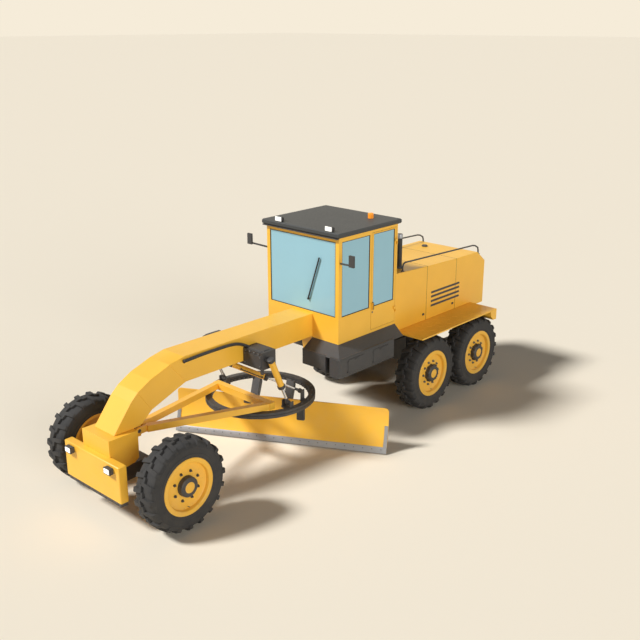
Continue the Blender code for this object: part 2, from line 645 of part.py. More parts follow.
def make_cylinder(name, top, eye, barrel_r, rod_r, barrel_l, stroke_in, yoke_centre):
    """Yoke, barrel with its gland ring, and rod with a ball end."""
    along = (eye - top).normalized()
    nose = top + along * barrel_l
    base = top - along * (barrel_r * 0.6)
    if yoke_centre is not None:
        # a round roller between the saddle's stub and the barrel, turning about Y
        middle = Vector(yoke_centre)
        yoke = rod(middle - Vector((0, 0.045, 0)), middle + Vector((0, 0.045, 0)), YOKE_R, 16)
        node(f"{name}_yoke", yoke, "dark", yoke_centre)
    else:
        crown = base.z - top.z + barrel_r * math.sqrt(1.0 - along.z ** 2)
        upper = SHIFT_STUB - SEAT - TURN_GAP
        yoke = rod(top + Vector((0, 0, upper)), top + Vector((0, 0, crown + 2 * SEAT)), SHIFT_YOKE_R, 16)
        node(f"{name}_yoke", yoke, "dark", tuple(top))
    barrel = rod(base, nose, barrel_r, 16)
    gland = rod(nose - along * 0.050, nose, barrel_r + 0.007, 16)
    bore = rod(nose - along * (barrel_l - 0.030), nose + along * 0.1, rod_r + BORE_GAP, 16)
    node(f"{name}_barrel", combine(barrel, [gland], [bore]), "yellow", tuple(top), True)
    inner = top + along * (0.030 + RUN + stroke_in)
    shaft = rod(inner, eye, rod_r, 16)
    node(f"{name}_rod", shaft, "chrome", tuple(top), True)


# ----------------------------------------------------------------------- cab
def make_cab():
    """Cab shell with its openings, roof, doors, glass, seat and controls."""
    shell = box((-CAB_HW, CAB_HW), CAB_Y, CAB_Z)
    inner_x = CAB_HW - CAB_WALL
    inner_y = (CAB_Y[0] + CAB_WALL, CAB_Y[1] - CAB_WALL)
    cuts = [box((-inner_x, inner_x), inner_y, (CAB_Z[0] + FLOOR_T, CAB_Z[1] + 0.1)),
            box((-WIND_HW, WIND_HW), (CAB_Y[0] - 0.1, inner_y[0] + 0.01), GLASS_Z),
            box((-REAR_GLASS[0], REAR_GLASS[0]), (inner_y[1] - 0.01, CAB_Y[1] + 0.1), REAR_GLASS[1:]),
            box((-BEAM_HW - SEAT, BEAM_HW + SEAT), (CAB_Y[0] - 0.1, TUNNEL_END + SEAT),
                (CAB_Z[0] - 0.1, BEAM_TOP + SEAT))]
    for side in (-1, 1):
        wall = sorted((side * (inner_x - 0.01), side * (CAB_HW + 0.1)))
        cuts.append(box(wall, SIDE_GLASS_Y, GLASS_Z))
        cuts.append(box(wall, DOOR_Y, DOOR_Z))
    adds = []
    knuckles = [(z, z + 0.050) for z in (1.900, 3.100)]
    for side in (-1, 1):
        axis_x = side * (CAB_HW + HINGE_OUT)
        for low, high in knuckles:
            adds.append(rod((axis_x, DOOR_Y[1] + 0.004, low), (axis_x, DOOR_Y[1] + 0.004, high), HINGE_R, 8))
            adds.append(box(sorted((side * (CAB_HW - 0.010), axis_x)),
                            (DOOR_Y[1] + 0.006, DOOR_Y[1] + 0.016), (low, high)))
    node("cab_shell", combine(shell, adds, cuts), "yellow")

    roof = box((-ROOF_HW, ROOF_HW), ROOF_Y, (CAB_Z[1] + SEAT, ROOF_TOP))
    adds = [box((x - ROOF_LAMP[0] / 2, x + ROOF_LAMP[0] / 2), ROOF_LAMP[1:3], (ROOF_TOP - 0.010, ROOF_TOP + ROOF_LAMP[3]))
            for x in ROOF_LAMP_X]
    adds.append(rod((BEACON[0], BEACON[1], ROOF_TOP - 0.010), (BEACON[0], BEACON[1], ROOF_TOP + BEACON[3]),
                    BEACON[2], 12))
    node("cab_roof", combine(roof, adds), "dark")

    pane_y = CAB_Y[0] + 0.012
    node("windshield", box((-WIND_HW + SEAT, WIND_HW - SEAT), (pane_y, pane_y + GLASS_T),
                           (GLASS_Z[0] + SEAT, GLASS_Z[1] - SEAT)), "glass")
    pane_y = CAB_Y[1] - 0.012
    node("rear_window", box((-REAR_GLASS[0] + SEAT, REAR_GLASS[0] - SEAT), (pane_y - GLASS_T, pane_y),
                            (REAR_GLASS[1] + SEAT, REAR_GLASS[2] - SEAT)), "glass")
    for side_name, side in (("left", 1), ("right", -1)):
        pane = sorted((side * (CAB_HW - 0.012 - GLASS_T), side * (CAB_HW - 0.012)))
        node(f"side_window_{side_name}",
             box(pane, (SIDE_GLASS_Y[0] + SEAT, SIDE_GLASS_Y[1] - SEAT),
                 (GLASS_Z[0] + SEAT, GLASS_Z[1] - SEAT)), "glass")
        panel = sorted((side * (CAB_HW - DOOR_T), side * CAB_HW))
        span_y = (DOOR_Y[0] + DOOR_GAP, DOOR_Y[1] - DOOR_GAP)
        span_z = (DOOR_Z[0] + DOOR_GAP, DOOR_Z[1] - DOOR_GAP)
        door = box(panel, span_y, span_z)
        axis_x = side * (CAB_HW + HINGE_OUT)
        axis_y = DOOR_Y[1] + 0.004
        adds = []
        for low, high in knuckles:
            adds.append(rod((axis_x, axis_y, high + SEAT), (axis_x, axis_y, high + 0.050), HINGE_R, 8))
            adds.append(box(sorted((side * (CAB_HW - 0.010), side * (CAB_HW + HINGE_OUT + 0.006))),
                            (span_y[1] - 0.040, axis_y + 0.002), (high + 0.006, high + 0.050)))
        adds.append(box(sorted((side * (CAB_HW - 0.010), side * (CAB_HW + 0.030))),
                        (span_y[0] + 0.010, span_y[0] + 0.040), (2.080, 2.200)))
        cuts = [box(sorted((side * (CAB_HW - 0.2), side * (CAB_HW + 0.2))), DOOR_GLASS_Y, GLASS_Z),
                box(sorted((side * (CAB_HW + 0.002), side * (CAB_HW - 0.1))),
                    (span_y[1], span_y[1] + 0.1), (1.5, 3.6))]
        door = combine(door, adds, cuts)
        node(f"door_{side_name}", door, "yellow", (axis_x, axis_y, CAB_Z[0]))
        node(f"door_glass_{side_name}",
             box(pane, (DOOR_GLASS_Y[0] + SEAT, DOOR_GLASS_Y[1] - SEAT),
                 (GLASS_Z[0] + SEAT, GLASS_Z[1] - SEAT)), "glass", (axis_x, axis_y, CAB_Z[0]))
        head_x = side * 1.150
        arm = bar((side * (CAB_HW + SEAT), 1.880, 3.030), (head_x, 1.760, 3.080), 0.024, 0.024)
        head = box((head_x - 0.050, head_x + 0.050), (1.735, 1.770), (3.055, 3.240))
        trim = box(sorted((side * (CAB_HW - 0.1), side * (CAB_HW + SEAT))), (1.7, 2.0), (2.9, 3.2))
        node(f"mirror_{side_name}", combine(arm, [head], [trim]), "dark")

    floor = CAB_Z[0] + FLOOR_T + SEAT
    seat = box((-0.150, 0.150), (2.750, 3.050), (floor, 2.080))
    cushion = box((-0.260, 0.260), (2.650, 3.130), (2.050, 2.190))
    back = prism_x([(3.020, 2.100), (3.140, 2.100), (3.240, 2.800), (3.150, 2.820)], -0.240, 0.240)
    column = prism_x([(TUNNEL_END + SEAT, floor), (2.420, floor), (2.400, 2.300), (TUNNEL_END + SEAT, 2.300)],
                     -0.080, 0.080)
    mat = box((-0.140, 0.140), (TUNNEL_END + SEAT, 2.900), (floor, floor + 0.015))
    shaft = rod((0, 2.330, 2.280), (0, 2.420, 2.420), 0.030, 8)
    wheel = rod((0, 2.411, 2.406), (0, 2.424, 2.426), 0.190, 16)
    node("operator_station", combine(seat, [cushion, back, mat, column, shaft, wheel]), "dark")


# ------------------------------------------------- chassis, deck and hood
def make_rear():
    """Chassis, under-cab boxes, tandem axle, deck, hood, stack and rails."""
    frame = [(TUNNEL_END + SEAT, 1.250), (TUNNEL_END + SEAT, CHASSIS_TOP), (CAB_Y[1], CHASSIS_TOP),
             (CAB_Y[1], DECK_Z[0] - SEAT), (5.6687, DECK_Z[0] - SEAT), (5.6687, 1.080),
             (3.600, 1.080)]
    chassis = prism_x(frame, -CHASSIS_HW, CHASSIS_HW)

    flare_top, flare_low = CAB_Z[0] - SEAT, 1.521
    wide = CAB_HW + 0.250
    skirt = loft([[(-wide, 1.583, flare_low), (wide, 1.583, flare_low), (wide, 3.250, flare_low),
                   (-wide, 3.250, flare_low)],
                  [(-CAB_HW, CAB_Y[0], flare_top), (CAB_HW, CAB_Y[0], flare_top),
                   (CAB_HW, CAB_Y[1] - 0.020, flare_top), (-CAB_HW, CAB_Y[1] - 0.020, flare_top)]])
    adds = [prism_z([(-0.030, 1.590), (0.748, 1.590), (0.748, 1.700), (0.840, 1.700), (0.840, 1.590),
                     (1.020, 1.590), (1.055, 1.640), (1.055, 3.000), (0.980, 3.080), (-0.030, 3.080)],
                    1.200, 1.540),
            prism_z([(0.700, 1.690), (1.055, 1.690), (1.055, 3.000), (0.980, 3.080), (0.700, 3.080)], 1.200, 1.540),
            box((-1.050, 0.100), (2.330, 3.080), (1.200, 1.540))]
    cuts = [box((-BEAM_HW - SEAT, BEAM_HW + SEAT), (1.0, TUNNEL_END + SEAT), (1.0, 1.8)),
            box((-2.0, -BEAM_HW), (1.0, 2.330), (1.0, 1.8)),
            box((-0.1, CIRCLE_BAY[0]), (1.0, CIRCLE_BAY[1]), (1.0, CIRCLE_BAY[2]))]
    node("rear_frame", combine(skirt, adds + [chassis], cuts), "dark")

    mid = (REAR_Y[0] + REAR_Y[1]) / 2
    face = WHEEL_X - TYRE_W / 2 - 0.020
    axle = rod((-0.640, mid, TYRE_R), (0.640, mid, TYRE_R), 0.140, 16)
    adds = [box((-0.260, 0.260), (mid - 0.240, mid + 0.240), (TYRE_R - 0.180, 1.080 - SEAT))]
    for side in (-1, 1):
        low, high = TYRE_R - 0.200, TYRE_R + 0.200
        case = [(REAR_Y[0] - 0.220, TYRE_R + 0.090), (REAR_Y[0] - 0.220, TYRE_R - 0.090),
                (REAR_Y[0] - 0.120, low), (REAR_Y[1] + 0.120, low),
                (REAR_Y[1] + 0.220, TYRE_R - 0.090), (REAR_Y[1] + 0.220, TYRE_R + 0.090),
                (REAR_Y[1] + 0.120, high), (REAR_Y[0] - 0.120, high)]
        adds.append(prism_x(case, *sorted((side * 0.620, side * face))))
        adds += [rod((side * (face - 0.05), y, TYRE_R), (side * (WHEEL_X + SPINDLE_OUT), y, TYRE_R),
                     SPINDLE_R, WHEEL_SEG) for y in REAR_Y]
    node("tandem_axle", combine(axle, adds), "dark")

    deck = [(DECK_Y[0], DECK_Z[0]), (DECK_Y[0], DECK_Z[1]), (DECK_Y[1], DECK_Z[1]), (DECK_Y[1], BUMPER_Z),
            (5.770, BUMPER_Z + 0.004), (5.690, 1.320), (5.669, DECK_Z[0])]
    node("rear_deck", prism_x(deck, -DECK_HW, DECK_HW), "yellow")

    low = DECK_Z[1] + SEAT
    tail = DECK_Y[1] + SEAT
    outer = [(HOOD_Y0, low)] + list(HOOD_TOP) + [(HOOD_END, HOOD_BOT), (tail, HOOD_BOT), (tail, low)]
    hood = prism_x(outer, -HOOD_HW, HOOD_HW)
    w = HOOD_WALL
    inner = [(HOOD_Y0 + w, HOOD_BOT - 0.2)] + [(HOOD_Y0 + w, HOOD_TOP[0][1] - w)] \
        + [(y, z - w) for y, z in HOOD_TOP[1:4]] \
        + [(HOOD_END - w, HOOD_TOP[4][1] - w), (HOOD_END - w, HOOD_BOT - 0.2)]
    inner_hw = HOOD_HW - w
    hollow = prism_x(inner, -inner_hw, inner_hw)
    node("hood", combine(hood, cuts=[hollow]), "yellow")
    ex, ey0, ey1, ez = ENGINE
    node("engine_block", box((-ex, ex), (ey0, ey1), (low, ez)), "steel")

    def top_at(y):
        for (y0, z0), (y1, z1) in zip(HOOD_TOP, HOOD_TOP[1:]):
            if y0 <= y <= y1:
                return z0 + (z1 - z0) * (y - y0) / (y1 - y0)
        return HOOD_TOP[-1][1]

    sx, sy, sr, sz = STACK
    node("exhaust_stack", rod((sx, sy, top_at(sy - sr) + SEAT), (sx, sy, sz), sr, 16), "dark", (sx, sy, sz), True)
    for side_name, side in (("left", 1), ("right", -1)):
        x = side * RAIL_X
        y0, y1 = 3.700, 6.100
        path = [(x, y0, top_at(y0 - RAIL_R) + SEAT), (x, y0, 2.600), (x, y0 + 0.020, 2.640), (x, y0 + 0.070, 2.658),
                (x, 5.900, 2.580), (x, 5.990, 2.560), (x, y1 - 0.020, 2.510), (x, y1, 2.450),
                (x, y1, top_at(y1 - RAIL_R) + SEAT)]
        node(f"handrail_{side_name}", pipe(path, RAIL_R), "dark", (x, y0, path[0][2]), True)


def main():
    for obj in list(bpy.data.objects):
        bpy.data.objects.remove(obj)
    make_wheels()
    make_front_axle()
    make_beam()
    make_drawbar()
    make_blade()
    make_cylinders()
    make_cab()
    make_rear()


main()
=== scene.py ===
"""Motor grader: the finished machine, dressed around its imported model.

Lengths are metres. +Z is up, the machine's front faces -Y and its left side +X.
Pieces are placed from the machine's own datum: the ground point on its centre
line, 1.70 m behind the front axle, which datum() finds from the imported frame.
"""
from __future__ import annotations

import logging
import math
import random
from dataclasses import dataclass, field
from enum import Enum
from typing import Iterable, Sequence

import bmesh
import bpy
from mathutils import Matrix, Vector

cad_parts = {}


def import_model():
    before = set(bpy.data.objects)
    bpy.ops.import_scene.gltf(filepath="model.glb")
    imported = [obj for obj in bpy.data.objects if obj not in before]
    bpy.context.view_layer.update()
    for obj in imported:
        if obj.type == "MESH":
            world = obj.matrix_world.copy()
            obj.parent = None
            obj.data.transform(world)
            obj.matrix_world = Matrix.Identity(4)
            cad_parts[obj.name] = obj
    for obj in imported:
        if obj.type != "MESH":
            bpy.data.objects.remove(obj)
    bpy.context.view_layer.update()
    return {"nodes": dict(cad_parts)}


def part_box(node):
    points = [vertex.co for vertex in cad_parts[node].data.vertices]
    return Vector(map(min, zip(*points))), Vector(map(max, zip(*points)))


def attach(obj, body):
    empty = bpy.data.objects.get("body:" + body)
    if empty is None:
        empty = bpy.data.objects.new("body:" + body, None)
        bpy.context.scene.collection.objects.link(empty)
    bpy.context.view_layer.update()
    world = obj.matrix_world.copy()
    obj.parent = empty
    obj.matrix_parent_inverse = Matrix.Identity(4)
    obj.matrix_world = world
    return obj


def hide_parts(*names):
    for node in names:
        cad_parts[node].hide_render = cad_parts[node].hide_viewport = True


LOG = logging.getLogger("grader")
Colour = tuple[float, float, float]
Span = tuple[float, float]
Point = Sequence[float]
SKIN = 0.0012           # how far a dressing piece stands off the part that it lies on
FRONT_AXLE_BACK = 1.700  # from the datum to the front axle
AXLES = {"front": -FRONT_AXLE_BACK, "mid": 3.914, "rear": 5.365}
TYRE_RADIUS = 0.680
SIDES = {"left": 1.0, "right": -1.0}


def linear(red: float, green: float, blue: float) -> Colour:
    """Turn a colour of 0 to 255 as seen on a screen into linear light.

    Args:
        red: red, 0 to 255.
        green: green, 0 to 255.
        blue: blue, 0 to 255.

    Returns:
        The three linear values, 0 to 1.
    """
    values = []
    for part in (red, green, blue):
        share = part / 255.0
        values.append(share / 12.92 if share <= 0.04045 else ((share + 0.055) / 1.055) ** 2.4)
    return values[0], values[1], values[2]


# ------------------------------------------------------------------ finishes
@dataclass(frozen=True)
class Finish:
    """A procedural finish: colour that drifts, dust, wear, grain and gloss."""

    name: str
    colour: Colour
    drift: float = 0.06
    roughness: float = 0.45
    roughness_spread: float = 0.10
    metallic: float = 0.0
    grain: float = 220.0
    bump: float = 0.04
    dust: float = 0.10
    dust_colour: Colour = field(default_factory=lambda: linear(205, 186, 150))
    wear: float = 0.0
    wear_colour: Colour = field(default_factory=lambda: linear(120, 116, 110))
    coat: float = 0.0
    slot: str = "dark_paint"

    def build(self) -> bpy.types.Material:
        """Make the material with its node tree.

        Returns:
            The new material.
        """
        material = bpy.data.materials.new(self.name)
        material.use_nodes = True
        tree = material.node_tree
        shader = tree.nodes["Principled BSDF"]
        shader.inputs["Metallic"].default_value = self.metallic
        shader.inputs["Coat Weight"].default_value = self.coat
        shader.inputs["Coat Roughness"].default_value = 0.12
        place = tree.nodes.new("ShaderNodeTexCoord").outputs["Object"]
        cloud = self._noise(tree, place, 1.7, 3.0)
        darker = tuple(c * (1.0 - self.drift) for c in self.colour)
        lighter = tuple(min(1.0, c * (1.0 + self.drift)) for c in self.colour)
        tone = self._ramp(tree, cloud, (0.30, (*darker, 1.0)), (0.70, (*lighter, 1.0)))
        settled = self._mix(tree, self._dust_mask(tree, place), tone, self.dust_colour)
        worn = self._mix(tree, self._wear_mask(tree, place), settled, self.wear_colour)
        tree.links.new(worn, shader.inputs["Base Color"])
        fine = self._noise(tree, place, 38.0, 4.0)
        gloss = tree.nodes.new("ShaderNodeMapRange")
        gloss.inputs["To Min"].default_value = max(0.02, self.roughness - self.roughness_spread)
        gloss.inputs["To Max"].default_value = min(1.0, self.roughness + self.roughness_spread)
        tree.links.new(fine, gloss.inputs["Value"])
        tree.links.new(gloss.outputs["Result"], shader.inputs["Roughness"])
        bump = tree.nodes.new("ShaderNodeBump")
        bump.inputs["Strength"].default_value = self.bump
        bump.inputs["Distance"].default_value = 0.004
        tree.links.new(self._noise(tree, place, self.grain, 2.0), bump.inputs["Height"])
        tree.links.new(bump.outputs["Normal"], shader.inputs["Normal"])
        return material

    @staticmethod
    def _noise(tree: bpy.types.NodeTree, place: bpy.types.NodeSocket, scale: float,
               detail: float) -> bpy.types.NodeSocket:
        """Add a noise texture.

        Args:
            tree: the material's node tree.
            place: the coordinates that it is read at.
            scale: its scale.
            detail: its number of octaves.

        Returns:
            Its value socket.
        """
        node = tree.nodes.new("ShaderNodeTexNoise")
        node.inputs["Scale"].default_value = scale
        node.inputs["Detail"].default_value = detail
        tree.links.new(place, node.inputs["Vector"])
        return node.outputs["Fac"]

    @staticmethod
    def _ramp(tree: bpy.types.NodeTree, value: bpy.types.NodeSocket,
              low: tuple[float, tuple], high: tuple[float, tuple]) -> bpy.types.NodeSocket:
        """Add a two-stop colour ramp.

        Args:
            tree: the material's node tree.
            value: the value that drives it.
            low: first stop and its colour.
            high: last stop and its colour.

        Returns:
            Its colour socket.
        """
        node = tree.nodes.new("ShaderNodeValToRGB")
        for element, (stop, colour) in zip(node.color_ramp.elements, (low, high)):
            element.position = stop
            element.color = colour
        tree.links.new(value, node.inputs["Fac"])
        return node.outputs["Color"]

    @staticmethod
    def _mix(tree: bpy.types.NodeTree, mask: bpy.types.NodeSocket,
             base: bpy.types.NodeSocket, over: Colour) -> bpy.types.NodeSocket:
        """Lay a colour over a base.

        Args:
            tree: the material's node tree.
            mask: how much of the colour shows.
            base: the colour socket under it.
            over: the colour laid over it.

        Returns:
            The mixed colour socket.
        """
        node = tree.nodes.new("ShaderNodeMix")
        node.data_type = "RGBA"
        tree.links.new(mask, node.inputs["Factor"])
        tree.links.new(base, node.inputs["A"])
        node.inputs["B"].default_value = (*over, 1.0)
        return node.outputs["Result"]

    def _dust_mask(self, tree: bpy.types.NodeTree,
                   place: bpy.types.NodeSocket) -> bpy.types.NodeSocket:
        """Dust that gathers low on the machine, broken up by noise.

        Args:
            tree: the material's node tree.
            place: the coordinates that the noise is read at.

        Returns:
            The mask's value socket.
        """
        height = tree.nodes.new("ShaderNodeSeparateXYZ")
        tree.links.new(place, height.inputs["Vector"])
        low = tree.nodes.new("ShaderNodeMapRange")
        low.inputs["From Min"].default_value = 0.0
        low.inputs["From Max"].default_value = 1.5
        low.inputs["To Min"].default_value = self.dust
        low.inputs["To Max"].default_value = self.dust * 0.12
        tree.links.new(height.outputs["Z"], low.inputs["Value"])
        speck = self._ramp(tree, self._noise(tree, place, 6.0, 6.0),
                           (0.36, (0.2, 0.2, 0.2, 1.0)), (0.68, (1.0, 1.0, 1.0, 1.0)))
        product = tree.nodes.new("ShaderNodeMath")
        product.operation = "MULTIPLY"
        tree.links.new(low.outputs["Result"], product.inputs[0])
        tree.links.new(speck, product.inputs[1])
        return product.outputs["Value"]

    def _wear_mask(self, tree: bpy.types.NodeTree,
                   place: bpy.types.NodeSocket) -> bpy.types.NodeSocket:
        """Small scuffs where the noise peaks.

        Args:
            tree: the material's node tree.
            place: the coordinates that the noise is read at.

        Returns:
            The mask's value socket.
        """
        scuff = self._ramp(tree, self._noise(tree, place, 17.0, 8.0),
                           (0.66, (0.0, 0.0, 0.0, 1.0)), (0.74, (1.0, 1.0, 1.0, 1.0)))
        product = tree.nodes.new("ShaderNodeMath")
        product.operation = "MULTIPLY"
        product.inputs[1].default_value = self.wear
        tree.links.new(scuff, product.inputs[0])
        return product.outputs["Value"]


@dataclass(frozen=True)
class Glow(Finish):
    """A lamp glass: a finish that also gives off a little of its own light."""

    strength: float = 0.5

    def build(self) -> bpy.types.Material:
        """Make the lamp glass; returns the new material."""
        material = super().build()
        shader = material.node_tree.nodes["Principled BSDF"]
        shader.inputs["Emission Color"].default_value = (*self.colour, 1.0)
        shader.inputs["Emission Strength"].default_value = self.strength
        return material


class Coat(Enum):
    """The finishes of the machine, by what they are on."""

    BODY = Finish("body_yellow", linear(252, 192, 60), drift=0.035, roughness=0.42, dust=0.10,
                  wear=0.10, wear_colour=linear(206, 150, 60), coat=0.15, bump=0.03,
                  slot="yellow_paint")
    RIM = Finish("rim_yellow", linear(250, 190, 60), drift=0.05, roughness=0.45, dust=0.22,
                 wear=0.22, wear_colour=linear(150, 118, 66), bump=0.05, slot="rim_paint")
    DARK = Finish("chassis_dark", linear(58, 58, 60), drift=0.14, roughness=0.52, dust=0.09,
                  wear=0.14, wear_colour=linear(96, 94, 92), bump=0.06)
    ROOF = Finish("roof_dark", linear(56, 59, 61), drift=0.08, roughness=0.55, dust=0.12,
                  dust_colour=linear(104, 102, 98), wear=0.10, wear_colour=linear(104, 102, 100),
                  bump=0.05)
    SEAM = Finish("panel_seam", linear(96, 66, 20), drift=0.12, roughness=0.70, dust=0.05,
                  bump=0.02)
    RUBBER = Finish("worn_rubber", linear(50, 50, 51), drift=0.18, roughness=0.86,
                    roughness_spread=0.06, dust=0.16, dust_colour=linear(120, 110, 94),
                    grain=140.0, bump=0.16, slot="tyre_rubber")
    # dark rubber for seals, wiper and door gaps; also the painted shade disc in the stack's mouth
    SEAL = Finish("rubber_and_painted_shade", linear(34, 34, 35), drift=0.12, roughness=0.78, dust=0.04,
                  grain=160.0, bump=0.06)
    HOSE = Finish("hose_rubber", linear(44, 44, 45), drift=0.14, roughness=0.66, dust=0.08,
                  grain=260.0, bump=0.10)
    EDGE = Finish("ground_steel", linear(154, 156, 161), drift=0.10, roughness=0.38, metallic=0.55,
                  grain=90.0, dust=0.12, wear=0.30, wear_colour=linear(134, 126, 116), bump=0.08,
                  slot="edge_steel")
    CHROME = Finish("hard_chrome", linear(214, 217, 222), drift=0.03, roughness=0.16,
                    roughness_spread=0.05, metallic=0.85, dust=0.02, bump=0.01, slot="rod_chrome")
    BOLT = Finish("bolt_steel", linear(104, 104, 106), drift=0.10, roughness=0.45, metallic=0.5,
                  dust=0.12, bump=0.04)
    IRON = Finish("cast_iron", linear(92, 92, 90), drift=0.12, roughness=0.60, dust=0.20,
                  bump=0.10, slot="engine_iron")
    PIPE = Finish("exhaust_pipe", linear(48, 47, 47), drift=0.20, roughness=0.58, metallic=0.2,
                  wear=0.20, wear_colour=linear(92, 66, 48), bump=0.08)
    GLASS = Finish("tinted_glass", linear(150, 197, 214), drift=0.020, roughness=0.09,
                   roughness_spread=0.03, grain=8.0, bump=0.004, dust=0.10,
                   dust_colour=linear(160, 200, 212), coat=0.1, slot="cab_glass")
    MIRROR = Finish("mirror_glass", linear(196, 206, 212), drift=0.02, roughness=0.06,
                    roughness_spread=0.02, metallic=0.9, dust=0.02, bump=0.004)
    GRILLE = Finish("grille_dark", linear(40, 40, 42), drift=0.16, roughness=0.60, dust=0.16,
                    bump=0.05)
    SEAT = Finish("seat_vinyl", linear(52, 52, 55), drift=0.10, roughness=0.62, grain=320.0,
                  bump=0.22, dust=0.02)
    LAMP = Glow("lamp_glass", linear(250, 249, 244), drift=0.02, roughness=0.18,
                roughness_spread=0.04, dust=0.02, bump=0.01, strength=0.35)
    AMBER = Glow("beacon_amber", linear(255, 152, 38), drift=0.05, roughness=0.20,
                 roughness_spread=0.04, dust=0.02, bump=0.01, strength=0.30)
    RED = Glow("tail_lamp_red", linear(196, 34, 26), drift=0.05, roughness=0.22,
               roughness_spread=0.04, dust=0.04, bump=0.01, strength=0.10)

    @property
    def material(self) -> bpy.types.Material:
        """The finish's material, made the first time that it is asked for."""
        found = bpy.data.materials.get(self.value.name)
        return found or self.value.build()


# -------------------------------------------------------------------- shapes
def datum() -> Vector:
    """Find the machine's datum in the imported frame.

    Returns:
        The ground point on the centre line, FRONT_AXLE_BACK behind the front axle.
    """
    corners = [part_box(f"tyre_front_{side}") for side in ("left", "right")]
    middle = sum((low + high for low, high in corners), Vector()) / 4.0
    return Vector((middle.x, middle.y + FRONT_AXLE_BACK, 0.0))


